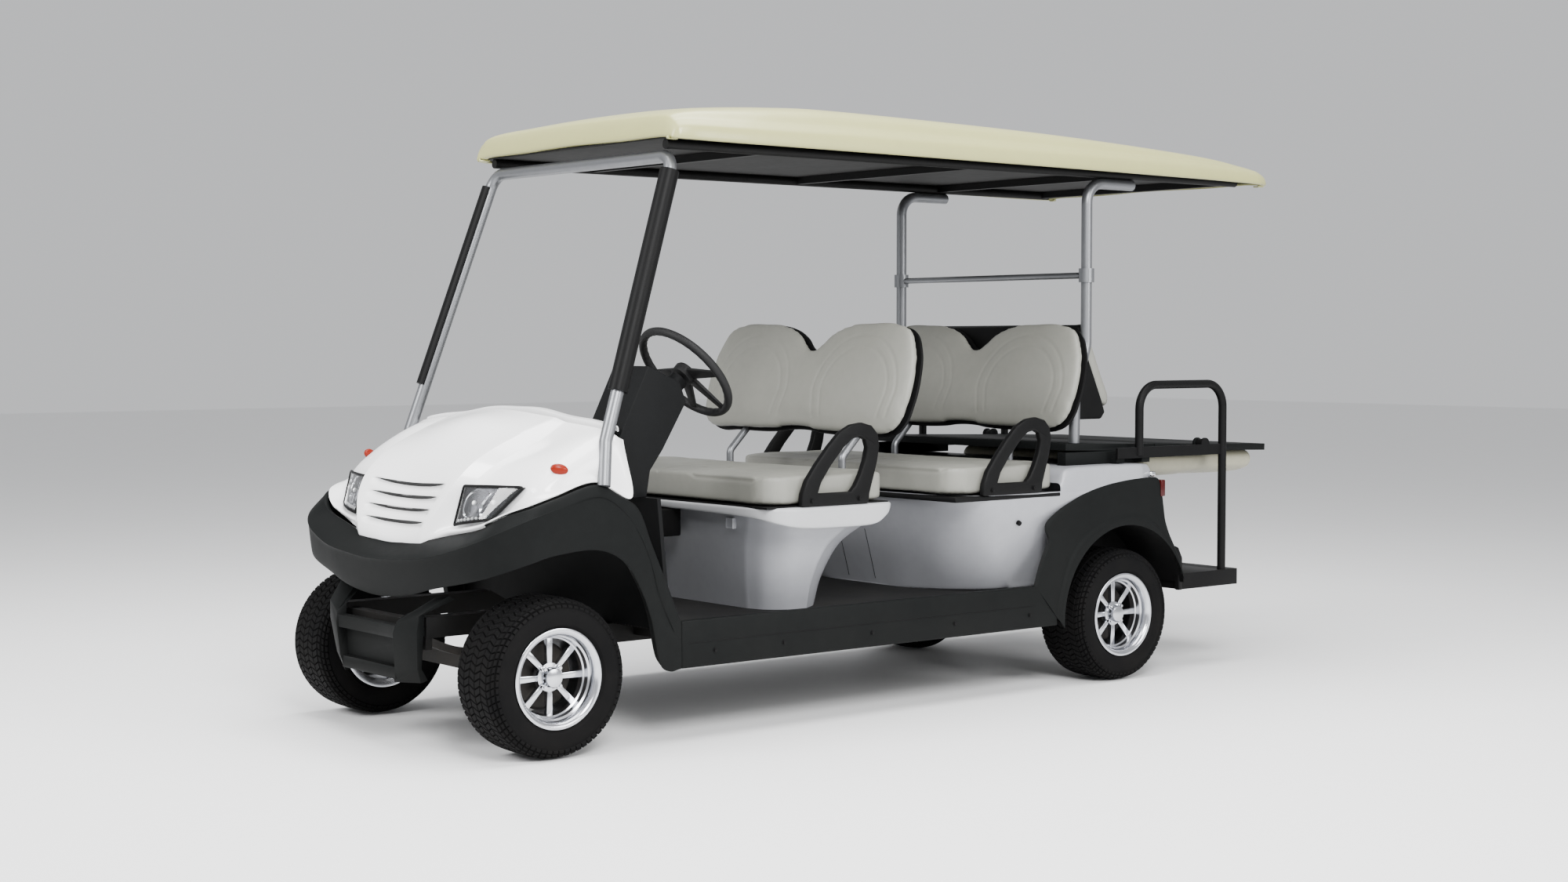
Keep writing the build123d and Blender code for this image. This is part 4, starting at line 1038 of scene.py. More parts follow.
# ---- canopy ----
@dataclass
class Canopy:
    """Moulded roof with its rolled rim."""

    wall: float = 0.005
    crowding: float = 1.5

    # y, half width, edge z, lip z, shoulder z, crown z
    ROOF = (
        (-986, 532, 1776, 1778, 1782, 1786),
        (-1010, 540, 1776, 1779, 1783, 1787),
        (-1015, 546, 1776, 1788, 1794, 1800),
        (-1006, 558, 1774, 1815, 1832, 1842),
        (-990, 568, 1772, 1828, 1850, 1860),
        (-940, 583, 1770, 1832, 1862, 1874),
        (-840, 593, 1768, 1832, 1872, 1891),
        (-600, 598, 1767, 1832, 1886, 1908),
        (-300, 598, 1766, 1834, 1892, 1916),
        (600, 598, 1762, 1828, 1878, 1900),
        (1300, 596, 1757, 1818, 1848, 1860),
        (1560, 592, 1754, 1806, 1820, 1826),
        (1640, 582, 1753, 1796, 1806, 1810),
        (1676, 564, 1752, 1784, 1792, 1796),
        (1690, 548, 1752, 1770, 1776, 1779),
        (1692, 540, 1752, 1758, 1761, 1763),
        (1672, 530, 1752, 1755, 1757, 1759),
    )

    def build(self) -> None:
        """One smooth skin from edge to edge."""
        rows = []
        for y, half, edge_z, lip_z, shoulder_z, crown_z in self.ROOF:
            tall = lip_z - edge_z
            section = ((0, crown_z), (0.5, crown_z - 4), (0.86, shoulder_z), (0.96, lip_z),
                       (0.99, lip_z - 0.34 * tall), (1.0, edge_z + 0.2 * tall), (0.992, edge_z),
                       (0.96, edge_z + 1))
            rows.append(mirrored([(half * share, y, z) for share, z in section]))
        patch = Patch(rows, sharp_columns=(4, 10))
        roof = Piece.sheet("roof_skin", 140, 130, lambda u, v: patch.at(v ** self.crowding, u))
        roof.thicken(self.wall).smooth(30).finish(CREAM, "roof")


# ---- soft parts ----
@dataclass
class Cushions:
    """Bench cushions, backrests and the rear-facing seat, swelled by cloth and then seamed."""

    voxel: float = 0.011
    pressure: float = 4.0
    frames: int = 20
    cap: float = 0.009
    seat_half: float = 0.572
    seat_z: float = 0.672
    seat_height: float = 0.095
    seat_depth: float = 0.480
    front_y: float = -0.680
    pitch: float = 0.770
    back_y: float = -0.118
    back_z: float = 0.892
    back_lean: float = 17.0
    quick_voxels: float = 2.5
    shell_wall: float = 0.009
    seat_inset: float = 0.007
    front_corner: float = 0.075
    rear_corner: float = 0.045
    flip_inset: float = 0.014
    flip_cap: float = 0.016
    back_cap: float = 0.010
    seam_corner: float = 0.07
    seam_x: float = 0.275
    seam_z: float = 1.02

    # x, z of the twin-hump outline, its left half from the top notch round to the bottom
    HUMP = ((16, 1172), (80, 1218), (160, 1250), (280, 1260), (390, 1255), (462, 1234), (508, 1172),
            (530, 1085), (528, 990), (512, 930), (470, 893), (330, 886), (110, 888), (40, 896))

    # y, z round the section of the rear-facing shell and of its pad
    HOLDER = ((812, 1228), (835, 1238), (823, 1205), (935, 967), (950, 930), (930, 906), (800, 906),
              (802, 1100))
    PAD = ((848, 1236), (866, 1222), (982, 985), (972, 952), (940, 966), (828, 1204))

    def swell(self, piece: Piece, cap: float) -> Piece:
        """Remeshes a plain form, blows it up as cloth and limits how far each point goes.

        Args:
            piece: the form, a little smaller than the finished cushion.
            cap: the furthest that a point may move.

        Returns:
            The swelled piece.
        """
        voxel = self.voxel * 1.0
        piece.modify("REMESH", mode="VOXEL", voxel_size=voxel)
        piece.hold()
        start = [v.co.copy() for v in piece.obj.data.vertices]
        cloth = piece.obj.modifiers.new("Cloth", "CLOTH")
        cloth.settings.use_pressure = True
        cloth.settings.uniform_pressure_force = self.pressure
        cloth.settings.effector_weights.gravity = 0
        cloth.point_cache.frame_end = self.frames
        for frame in range(1, self.frames + 1):
            bpy.context.scene.frame_set(frame)
        bpy.ops.object.modifier_apply(modifier=cloth.name)
        bpy.context.scene.frame_set(1)
        for vertex, place in zip(piece.obj.data.vertices, start):
            step = vertex.co - place
            if step.length > cap:
                vertex.co = place + step.normalized() * cap
        piece.obj.data.update()
        return piece.modify("SMOOTH", iterations=4, factor=0.5)

    def fit_box(self, piece: Piece, low: Point, high: Point) -> Piece:
        """Scales a swelled piece to fill a space."""
        low_now = [min(v.co[i] for v in piece.obj.data.vertices) for i in range(3)]
        high_now = [max(v.co[i] for v in piece.obj.data.vertices) for i in range(3)]
        spans = list(zip(low, high, low_now, high_now))
        for vertex in piece.obj.data.vertices:
            vertex.co = [a + (c - b) * (d - a) / (e - b) for (a, d, b, e), c in zip(spans, vertex.co)]
        piece.obj.data.update()
        return piece

    def seat(self) -> Piece:
        """One bench cushion over the front seat's place."""
        half = self.seat_half - self.seat_inset
        front = self.front_y + self.seat_inset
        rear = self.front_y + self.seat_depth - self.seat_inset
        corners = ((half, front, -90, self.front_corner), (half, rear, 0, self.rear_corner),
                   (-half, rear, 90, self.rear_corner), (-half, front, 180, self.front_corner))
        outline = []
        for x, y, turn, radius in corners:
            for step in range(7):
                angle = math.radians(turn + 15 * step)
                middle = (x - math.copysign(radius, x), y - math.copysign(radius, y - self.front_y - 0.2))
                outline.append((middle[0] + radius * math.cos(angle), middle[1] + radius * math.sin(angle)))
        seat = Piece.plate("seat_cushion_front", [outline], self.seat_height - 0.012)
        middle_z = self.seat_z + self.seat_height / 2
        seat.move(Matrix(((0, 1, 0, 0), (0, 0, 1, 0), (1, 0, 0, middle_z), (0, 0, 0, 1))))
        seat.modify("BEVEL", width=0.024, segments=3, limit_method="ANGLE", angle_limit=math.radians(50))
        self.swell(seat, self.cap)
        bottom = (-self.seat_half, self.front_y, self.seat_z + 0.0008)
        top = (self.seat_half, self.front_y + self.seat_depth, self.seat_z + self.seat_height + 0.008)
        self.fit_box(seat, bottom, top)
        return seat.relief(self.flatten_base).subdivide().relief(self.seat_seams).smooth(80)

    def flatten_base(self, place: Vector, normal: Vector) -> Vector:
        """Keeps the underside flat on its pan."""
        rest = self.seat_z + 0.001
        return Vector((0, 0, max(0.0, rest - place.z)))

    def seam(self, distance: float, width: float = 0.0075, depth: float = 0.0030) -> float:
        """How deep a stitched channel presses at a distance from its line."""
        share = distance / width
        return -depth * max(0.0, 1 - share * share)

    def seat_seams(self, place: Vector, normal: Vector) -> Vector:
        """Piped edge round the top and two curved channels on each place."""
        x = abs(place.x)
        y = place.y - self.front_y
        press = 0.0
        if normal.z > 0.2:
            for inset in (0.075, 0.135):
                edge_x = abs(x - self.seat_half / 2 - 0.005) - (self.seat_half / 2 - inset)
                edge_y = abs(y - self.seat_depth / 2 - 0.02) - (self.seat_depth / 2 - inset)
                past = (edge_x + self.seam_corner, edge_y + self.seam_corner)
                outside = math.hypot(max(past[0], 0), max(past[1], 0)) - self.seam_corner
                outside += min(max(past), 0)
                press = min(press, self.seam(outside))
            press = min(press, self.seam(x, 0.009, 0.004))
        if normal.y < -0.3:
            turn = max(0.0, abs(x - 0.35) - 0.145)
            press = min(press, self.seam(place.z - self.seat_z - 0.080 - 0.35 * turn, 0.0065, 0.0030))
        return normal * press

    def humped(self, name: str, half: Sequence[tuple[float, float]], thickness: float, y: float) -> Piece:
        """Upright twin-hump plate at a y, from its left half in millimetres."""
        left = [(x * MM, z * MM) for x, z in half]
        outline = left + [(-x, z) for x, z in reversed(left)]
        upright = Matrix(((0, 1, 0, 0), (1, 0, 0, y), (0, 0, 1, 0), (0, 0, 0, 1)))
        return Piece.plate(name, [outline], thickness, True).move(upright)

    def back(self) -> Piece:
        """One twin-hump backrest over the front seat's place."""
        pad = self.humped("backrest_front", self.HUMP, 0.030, self.back_y + 0.024)
        self.swell(pad, self.back_cap)
        low = (-0.533, self.back_y - 0.006, self.back_z - 0.008)
        high = (0.533, self.back_y + 0.043, 1.262)
        self.fit_box(pad, low, high)
        pad.subdivide().relief(self.back_seams).smooth(80)
        return pad.move(self.leaning(self.back_y))

    def leaning(self, y: float) -> Matrix:
        """The backrest's tilt about its lower front edge."""
        pivot = Matrix.Translation((0, y, self.back_z))
        return pivot @ Matrix.Rotation(math.radians(-self.back_lean), 4, "X") @ pivot.inverted()

    def back_seams(self, place: Vector, normal: Vector) -> Vector:
        """Two faint nested channels that follow the inside of each hump."""
        if normal.y > -0.3 or place.z < 0.93:
            return Vector((0, 0, 0))
        x = abs(place.x)
        press = 0.0
        for reach in (0.205, 0.165):
            if place.z > self.seam_z:
                across, up = (x - self.seam_x) / reach, (place.z - self.seam_z) / (reach - 0.010)
                line = (math.hypot(across, up) - 1) * reach
            else:
                line = abs(x - self.seam_x) - reach + 0.25 * (self.seam_z - place.z)
            press = min(press, self.seam(line, 0.007, 0.0016))
        return normal * press

    def shells(self) -> None:
        """Thin black shell behind each row's backrest, and the one that holds the rear-facing pad."""
        wider = [(x + 3, z + (3 if z > 1100 else -3)) for x, z in self.HUMP]
        front = self.humped("backrest_shell_front", wider, self.shell_wall, self.back_y + 0.0475)
        front.soften(0.0025, 2, 50).move(self.leaning(self.back_y))
        rear = front.copy("backrest_shell_rear", Matrix.Translation((0, self.pitch, 0)))
        section = [(y * MM, z * MM) for y, z in self.HOLDER]
        holder = Piece.plate("rear_facing_shell", [section], 0.89).soften(0.006, 3)
        for shell in (front, rear, holder):
            shell.finish(SHELL_BLACK, "backrest_shells")

    def supports(self) -> None:
        """Bright tube from each bench's rear edge up behind its backrest."""
        tubes = []
        for shift, foot in ((0.0, self.seat_z), (self.pitch, 0.752)):
            route = ((-0.150, foot), (-0.150, 0.800), (-0.046, 0.905), (-0.016, 1.003))
            tubes.append(Piece.tube("support", [(0.300, y + shift, z) for y, z in route], 0.0125, 0.030))
        Piece.united("backrest_supports", tubes).both_sides().finish(SILVER_TUBE, "seat_back_supports")

    def rear_facing(self) -> Piece:
        """Slim pad that faces rearwards over the flip seat."""
        section = [(y * MM, z * MM) for y, z in self.PAD]
        pad = Piece.plate("rear_facing_pad", [section], 0.83)
        pad.modify("BEVEL", width=0.012, segments=2, limit_method="ANGLE")
        self.swell(pad, self.back_cap)
        low = (-0.437, 0.824, 0.950)
        high = (0.437, 0.986, 1.240)
        return self.fit_box(pad, low, high).subdivide().smooth(80)

    def flip(self) -> Piece:
        """The flip seat's cushion, stowed under its panel."""
        low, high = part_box("flip_cushion")
        slack = Vector((self.flip_inset,) * 3)
        pad = Piece.block("flip_seat_pad", low + slack, high - slack)
        pad.modify("BEVEL", width=0.030, segments=3, limit_method="ANGLE")
        self.swell(pad, self.flip_cap)
        return self.fit_box(pad, low, high).subdivide().smooth(80)

    def build(self) -> None:
        """Makes each form once, and copies the front row to the rear."""
        rearwards = Matrix.Translation((0, self.pitch, 0))
        self.shells()
        self.supports()
        seat = self.seat()
        back = self.back()
        pieces = (
            (seat, "seat_cushions", VINYL, "chassis"),
            (seat.copy("seat_cushion_rear", rearwards), "seat_cushions", VINYL, "chassis"),
            (back, "backrest_pads", VINYL, "chassis"),
            (back.copy("backrest_rear", rearwards), "backrest_pads", VINYL, "chassis"),
            (self.rear_facing(), "backrest_pads", VINYL, "chassis"),
            (self.flip(), "flip_cushion", CREAM_VINYL, "rear_seat_flip"),
        )
        for piece, node, finish, body in pieces:
            piece.finish(finish, node, body=body)


# ---- moulded parts that keep the CAD form, with their edges rounded ----
@dataclass(frozen=True)
class Moulding:
    """One CAD node that is shown again with rounded edges, or a little slimmer."""

    node: str
    finish: Finish
    radius: float
    body: str = "chassis"
    segments: int = 3
    shrink: float = 0.0

    def build(self) -> None:
        """Copies the node, rounds or shrinks it, and takes its place."""
        piece = Piece.from_node(self.node + "_moulded", self.node)
        if self.shrink:
            piece.relief(lambda place, normal: normal * -self.shrink).smooth()
        else:
            piece.soften(self.radius, self.segments, 24)
        piece.finish(self.finish, self.node, body=self.body)


MOULDINGS = (
    Moulding("dashboard", DASH_BLACK, 0.010),
    Moulding("selector_box", SHELL_BLACK, 0.006),
    Moulding("side_sills", CHARCOAL, 0.006),
    Moulding("front_guard", CHARCOAL, 0.003, segments=2),
    Moulding("rear_footrest", SHELL_BLACK, 0.004),
    Moulding("rear_deck", CHARCOAL, 0.003, segments=2),
    Moulding("flip_deck", CHARCOAL, 0.003, "rear_seat_flip", 2),
    Moulding("battery_pack", SHELL_BLACK, 0.006),
    Moulding("windscreen_frame", SILVER_TUBE, 0.0, shrink=0.0007),
)


# ---- armrests ----
@dataclass
class Armrests:
    """Flat hoops with a padded outer face, one beside each seat place."""

    x: float = 0.590
    thickness: float = 0.024
    seat_top: float = 0.6723
    fronts: tuple[float, float] = (-0.568, 0.202)
    feet: tuple[float, float] = (0.040, 0.232)
    bolt_rise: float = 0.018

    # y, z from the foot of the front edge, in millimetres
    OUTER = ((0, 0), (4, 40), (22, 82), (62, 132), (110, 184), (155, 226), (200, 248), (245, 254), (285, 244),
             (310, 218), (317, 180), (308, 130), (292, 80), (277, 34), (272, 0))
    HOLE = ((66, 40), (80, 74), (120, 126), (170, 178), (206, 204), (236, 210), (258, 200), (266, 176),
            (256, 134), (238, 92), (218, 58), (200, 40))

    def hoop(self, front: float) -> Piece:
        """One hoop with its edges rounded."""
        loops = [[(front + y * MM, self.seat_top + z * MM) for y, z in loop]
                 for loop in (self.OUTER, self.HOLE)]
        hoop = Piece.plate("armrest", loops, self.thickness)
        hoop.soften(0.0085, 3, 50)
        return hoop.move(Matrix.Translation((self.x, 0, 0)))

    def build(self) -> None:
        """All four hoops as one piece, with their foot bolts."""
        rests = Piece.united("armrest_hoops", [self.hoop(front) for front in self.fronts])
        rests.both_sides().finish(SHELL_BLACK, "armrests")
        bolts = Bolts("armrest_bolts", 0.006, 0.004)
        for front in self.fronts:
            for y in self.feet:
                bolts.place((self.x + self.thickness / 2, front + y, self.seat_top + self.bolt_rise))
        bolts.done(SHELL_BLACK)


# ---- fixings ----
class Bolts:
    """A row of hexagon bolts on washers that face left, gathered into one piece."""

    WASHER = 0.0016

    def __init__(self, name: str, radius: float, height: float) -> None:
        """Takes the piece's name and the size of its heads."""
        self.name = name
        self.radius = radius
        self.height = height
        self.heads: list[Piece] = []

    def place(self, at: Point) -> None:
        """One bolt with its washer, where its axis meets a surface."""
        x, y, z = at
        left = (1, 0, 0)
        washer = Piece.disc("washer", (x + self.WASHER / 2, y, z), self.radius * 1.45, self.WASHER, left, 20)
        middle = (x + self.WASHER + self.height / 2, y, z)
        head = Piece.disc("head", middle, self.radius, self.height, left, 6)
        self.heads.append(washer.join(head.soften(self.radius * 0.12, 2)))

    def done(self, finish: Finish) -> None:
        """Joins the bolts, mirrors them and paints them."""
        Piece.united(self.name, self.heads).both_sides().smooth().finish(finish)


# ---- steering wheel ----
@dataclass
class SteeringWheel:
    """Padded rim, four spokes and a hub with its horn pad."""

    centre: Point = (0.312, -0.795, 1.084)
    radius: float = 0.165
    grip: float = 0.0135
    rake: float = 40.6
    spokes: tuple[float, ...] = (0.0, 62.0, 118.0, 180.0)
    finger_depth: float = 0.0016
    fingers: int = 36

    # x, radius of the hub with its horn pad
    HUB = ((-0.024, 0.0), (-0.024, 0.036), (0.002, 0.0375), (0.008, 0.034), (0.009, 0.026), (0.0105, 0.0235),
           (0.012, 0.014), (0.0125, 0.0))

    def frame(self) -> Matrix:
        """Placement that turns the X axis into the steering axis."""
        rake = math.radians(self.rake)
        normal = Vector((0, math.cos(rake), math.sin(rake)))
        down = Vector((0, math.sin(rake), -math.cos(rake)))
        turn = Matrix((normal, Vector((1, 0, 0)), down)).transposed().to_4x4()
        return Matrix.Translation(self.centre) @ turn

    def grip_height(self, place: Vector, normal: Vector) -> Vector:
        """Finger waves on the inner side of the rim."""
        around = math.atan2(place.z, place.y)
        inner = max(0.0, 1 - math.hypot(place.y, place.z) / self.radius) * 12
        return normal * (-self.finger_depth * inner * (0.5 + 0.5 * math.cos(around * self.fingers)))

    def build(self) -> None:
        """Models the wheel flat about X, then leans it."""
        ring = [(self.grip * math.cos(a), self.radius + self.grip * 0.96 * math.sin(a))
                for a in (math.tau * k / 16 for k in range(17))]
        rim = Piece.lathe("steering_rim", ring, 144).relief(self.grip_height).smooth(80)
        spokes = []
        for angle in self.spokes:
            arm = Piece.block("spoke", (-0.0085, 0.030, -0.0115), (-0.0005, self.radius - 0.004, 0.0115))
            arm.faces(lambda face: face.normal.y < -0.9).widen((1.5, 1, 1.7), (-0.004, 0, 0)).done()
            arm.soften(0.003)
            spokes.append(arm.move(Matrix.Rotation(math.radians(angle), 4, "X")))
        hub = Piece.lathe("hub", self.HUB, 48).smooth(40)
        shaft = Piece.disc("shaft", (-0.050, 0, 0), 0.0098, 0.070, (1, 0, 0), 24).smooth()
        wheel = rim.join(*spokes, hub, shaft).move(self.frame())
        wheel.finish(GRIP, "steering_wheel", body="steering_wheel")


# ---- rear wings ----
@dataclass
class RearWings:
    """Black wing over each rear wheel, with its thick arch lip, and the lamps behind."""

    x: float = 0.592
    arch_y: float = REAR_AXLE_Y
    arch_z: float = REAR_AXLE_Z
    arch_r: float = 0.312
    arch_start: float = 184.0
    arch_end: float = 19.0
    lip_share: float = 0.22
    stay_x: float = 0.573

    # y, z of the upper outline from the sill to the tail, in millimetres
    TOP = ((446, 361), (464, 412), (484, 458), (504, 492), (508, 518), (498, 542), (502, 568), (534, 594),
           (593, 624), (690, 660), (790, 683), (890, 696), (983, 702), (1048, 702), (1074, 684), (1084, 640),
           (1090, 596), (1097, 552), (1118, 502), (1150, 450), (1178, 400), (1196, 352))

    # y, z round the footrest's stay, in metres
    STAY = ((1.168, 0.452), (1.186, 0.446), (1.207, 0.408), (1.2075, 0.292), (1.190, 0.292), (1.186, 0.352))

    def arch_point(self, share: float) -> Vector:
        """Point on the arch's edge, from the sill round to the tail."""
        angle = math.radians(self.arch_start + (self.arch_end - self.arch_start) * share)
        reach = Vector((0, math.cos(angle), math.sin(angle))) * self.arch_r
        return Vector((0, self.arch_y, self.arch_z)) + reach

    def place(self, u: float, v: float) -> Vector:
        """The wing's skin: u round the arch, v from the arch's edge to the outline."""
        top = [Vector((0, y, z)) * MM for y, z in self.TOP]
        point = self.arch_point(u).lerp(spline(top, u * (len(top) - 1)), v)
        lip = max(0.0, 1 - v / self.lip_share)
        bead = 0.0085 * (1 - (1 - min(1.0, lip * 2.2)) ** 2) if lip else 0.0
        crown = 0.004 * math.sin(math.pi * min(1.0, v * 1.05))
        edge = 0.006 * max(0.0, (v - 0.93) / 0.07) ** 2
        point.x = self.x + 0.0065 + crown + bead * 0.9 - edge
        return point

    def build(self) -> None:
        """Skins, bright caps on the tail, the footrest's stays and the tail lamps."""
        skin = Piece.sheet("rear_wing", 160, 30, self.place)
        skin.close_up().thicken(0.005).smooth(40)
        skin.both_sides().finish(CHARCOAL, "rear_fenders")
        cap = Piece.block("tail_cap", (0.560, 1.038, 0.703), (0.582, 1.066, 0.722)).soften(0.007, 4)
        cap.both_sides().finish(CHROME)
        stay = Piece.plate("footrest_stay", [self.STAY], 0.020).soften(0.003)
        stay.move(Matrix.Translation((self.stay_x, 0, 0))).both_sides().finish(SHELL_BLACK)
        lamp = Piece.block("tail_lamp", (0.546, 1.0684, 0.634), (0.604, 1.0900, 0.692))
        lamp.faces(lambda face: face.normal.y > 0.9).inset(0.003).done()
        lamp.soften(0.004, 3).both_sides().finish(RED_LENS, "tail_lamps")


# ---- painted bodywork under the seats ----
@dataclass
class Bodywork:
    """Front pod, rear body with its raised tail, the trays and the small fittings on them."""

    wall: float = 0.004
    arch_y: float = REAR_AXLE_Y
    arch_z: float = REAR_AXLE_Z
    arch_r: float = 0.316
    well_wall: float = 0.55
    tail_half: float = 0.5925
    tail_flat: float = 0.86
    tail_base: float = 0.672
    tail_foot: float = 0.671
    tail_round: float = 0.020
    rim_top: float = 669.0
    rim_middle: float = -440.0
    well_x: float = 0.52
    well_width: float = 0.34
    seam_spots: int = 12
    sill_x: float = 0.6
    sill_bolt_z: float = 0.264

    # half outlines from the front middle to the rear middle, each with its height
    POD = (
        (340, ((0, -579), (180, -579), (345, -577), (402, -556), (446, -500), (454, -428), (405, -360),
              (330, -300), (0, -290))),
        (430, ((0, -598), (190, -598), (360, -596), (428, -572), (470, -510), (476, -426), (428, -350),
              (352, -282), (0, -270))),
        (530, ((0, -620), (200, -620), (388, -618), (456, -590), (508, -520), (516, -405), (468, -318),
              (400, -250), (0, -235))),
        (590, ((0, -634), (206, -634), (412, -632), (484, -602), (544, -528), (554, -365), (518, -268),
              (460, -215), (0, -206))),
        (618, ((0, -642), (210, -642), (428, -640), (502, -608), (566, -520), (574, -330), (560, -238),
              (508, -206), (0, -200))),
        (645, ((0, -648), (210, -648), (436, -646), (510, -614), (572, -512), (580, -320), (572, -230),
              (510, -202), (0, -200))),
    )
    # half outline of the front seat's rim, x, y, height of its lower edge
    RIM = ((0, -690, 649), (200, -690, 648), (420, -690, 646), (512, -686, 642), (560, -672, 634),
           (586, -644, 624), (598, -590, 612), (600, -520, 606), (600, -420, 604), (600, -300, 605),
           (599, -250, 612), (596, -218, 630), (586, -198, 642), (560, -190, 646), (400, -188, 648),
           (0, -188, 648))
    # share of the way down, millimetres inwards
    RIM_SECTION = ((0.0, 60), (0.0, 8), (0.06, 2), (0.2, 0), (0.86, 3), (0.97, 8), (1.0, 20), (0.95, 44))
    # half outlines of the rear body, as for the pod
    BODY = (
        (340, ((0, 205), (100, 205), (215, 212), (350, 262), (436, 352), (452, 460), (452, 680), (452, 820),
              (452, 900), (430, 1010), (0, 1040))),
        (356, ((0, 201), (100, 201), (225, 207), (366, 255), (456, 345), (474, 450), (474, 680), (474, 820),
              (474, 900), (450, 1020), (0, 1044))),
        (460, ((0, 170), (110, 170), (262, 178), (402, 210), (498, 300), (520, 410), (520, 680), (520, 840),
              (520, 930), (490, 1040), (0, 1052))),
        (580, ((0, 132), (125, 132), (310, 138), (450, 166), (548, 250), (570, 370), (572, 680), (572, 860),
              (572, 955), (530, 1055), (0, 1062))),
        (655, ((0, 104), (140, 104), (350, 108), (490, 134), (578, 212), (590, 330), (591, 680), (591, 880),
              (591, 975), (552, 1062), (0, 1067))),
        (672, ((0, 97), (140, 97), (350, 100), (492, 126), (580, 205), (592, 325), (592, 680), (592, 885),
              (592, 978), (556, 1064), (0, 1068))),
    )
    SILL_BOLTS = (-0.900, -0.637, -0.280, 0.076, 0.420)
    # upper and lower x, z of each seam on the rear body's front, in metres
    SEAMS = (((-0.066, 0.535), (-0.069, 0.36)), ((0.074, 0.535), (0.071, 0.36)))
    # y, height of the tail's top edge
    TAIL = ((574, 700), (596, 736), (640, 750), (760, 752), (900, 752), (1010, 750), (1050, 744), (1064, 720))

    def shell(self, name: str, stack: tuple, corners: tuple[int, ...]) -> Piece:
        """Skin through stacked half outlines, mirrored to both sides.

        Args:
            name: the piece's name.
            stack: height and half outline of each level, in millimetres.
            corners: the outline's points that stay sharp.

        Returns:
            The skin.
        """
        half_rows = [[(x, y, z) for x, y in outline] for z, outline in stack]
        return Patch(half_rows, corners).panel(name, 96, 40, self.wall).both_sides()

    def tail_place(self, u: float, v: float) -> Vector:
        """The raised tail: u from one side to the other, v from its front to its rear."""
        points = [Vector((0, y, z)) * MM for y, z in self.TAIL]
        spine = spline(points, v * (len(points) - 1))
        across = 2 * u - 1
        side = self.tail_half - 0.40 * max(0.0, spine.y - 0.98)
        share = abs(across)
        flat = min(1.0, share / self.tail_flat)
        angle = max(0.0, (share - self.tail_flat) / (1 - self.tail_flat)) * math.pi / 2
        radius = min(self.tail_round, spine.z - self.tail_base)
        x = math.copysign(flat * (side - radius) + radius * math.sin(angle), across)
        z = spine.z - radius * (1 - math.cos(angle))
        if share > 0.995:
            z = self.tail_foot
        return Vector((x, spine.y, z))

    def build(self) -> None:
        """Skins the pods and adds their fittings."""
        self.shell("front_pod_skin", self.POD, (2, 5, 7)).finish(GREY_PANEL, "front_seat_pod")
        skirt = self.shell("rear_body_skin", self.BODY, (9, 10))
        for side in LEFT_AND_RIGHT:
            centre = (side * self.well_x, self.arch_y, self.arch_z)
            skirt.cut(Piece.disc("well", centre, self.arch_r, self.well_width, (1, 0, 0), 72))
        skirt.smooth(40).finish(GREY_PANEL, "rear_body")
        tail = Piece.sheet("rear_tail_skin", 110, 60, self.tail_place).thicken(self.wall).smooth(40)
        tail.finish(GREY_PANEL, "rear_body")
        self.rim()
        self.trays()
        self.wells()
        self.fittings()

    def seam_line(self, upper: tuple[float, float], lower: tuple[float, float]) -> Piece:
        """Thin dark line on the front of the rear body's skin, between two (x, z) places."""
        skin = bpy.data.objects["rear_body_skin"]
        first, last = (Vector((x, 0.0, z)) for x, z in (upper, lower))
        spots = []
        for step in range(self.seam_spots + 1):
            hit, spot, _, _ = skin.ray_cast(first.lerp(last, step / self.seam_spots), Vector((0, 1, 0)))
            if hit:
                spots.append(spot)
        return Piece.tube("panel_seam", spots, 0.0011, 0.0, 2)

    def rim(self) -> None:
        """Pale rim that the front seat rests on, deeper along its sides."""
        rows = []
        for depth, inwards in self.RIM_SECTION:
            row = []
            for x, y, low in self.RIM:
                middle = Vector((x * 0.55, self.rim_middle))
                step = (Vector((x, y)) - middle).normalized() * inwards
                row.append((x - step.x if x else 0, y - step.y, self.rim_top - depth * (self.rim_top - low)))
            rows.append(row)
        rim = Patch(rows, sharp_columns=(15,)).panel("front_seat_rim_skin", 120, 28, 0.003)
        rim.both_sides().smooth(45).finish(LIGHT_RIM, "front_seat_rim")

    def trays(self) -> None:
        """Black strip that each cushion sits in."""
        rear = Piece.block("rear_tray", (-0.5935, 0.084, 0.655), (0.5935, 0.574, 0.6722))
        rear.soften(0.006, 3).finish(SHELL_BLACK)
        front = Piece.block("front_tray", (-0.580, -0.688, 0.6690), (0.580, -0.196, 0.6760))
        front.soften(0.0025).finish(SHELL_BLACK)

    def wells(self) -> None:
        """Dark inner skin over each rear wheel."""
        def place(u: float, v: float) -> Vector:
            """Round the arch, then across the wheel and down inside it."""
            angle = math.radians(178 - 161 * u)
            across = min(1.0, v / self.well_wall)
            inwards = max(0.0, (v - self.well_wall) / (1 - self.well_wall))
            radius = self.arch_r + 0.0015 - 0.17 * inwards
            return Vector((0.5995 - 0.22 * across, self.arch_y + radius * math.cos(angle),
                           self.arch_z + radius * math.sin(angle)))

        well = Piece.sheet("rear_wheel_well", 60, 20, place).thicken(0.003).smooth()
        well.both_sides().finish(SHELL_BLACK)

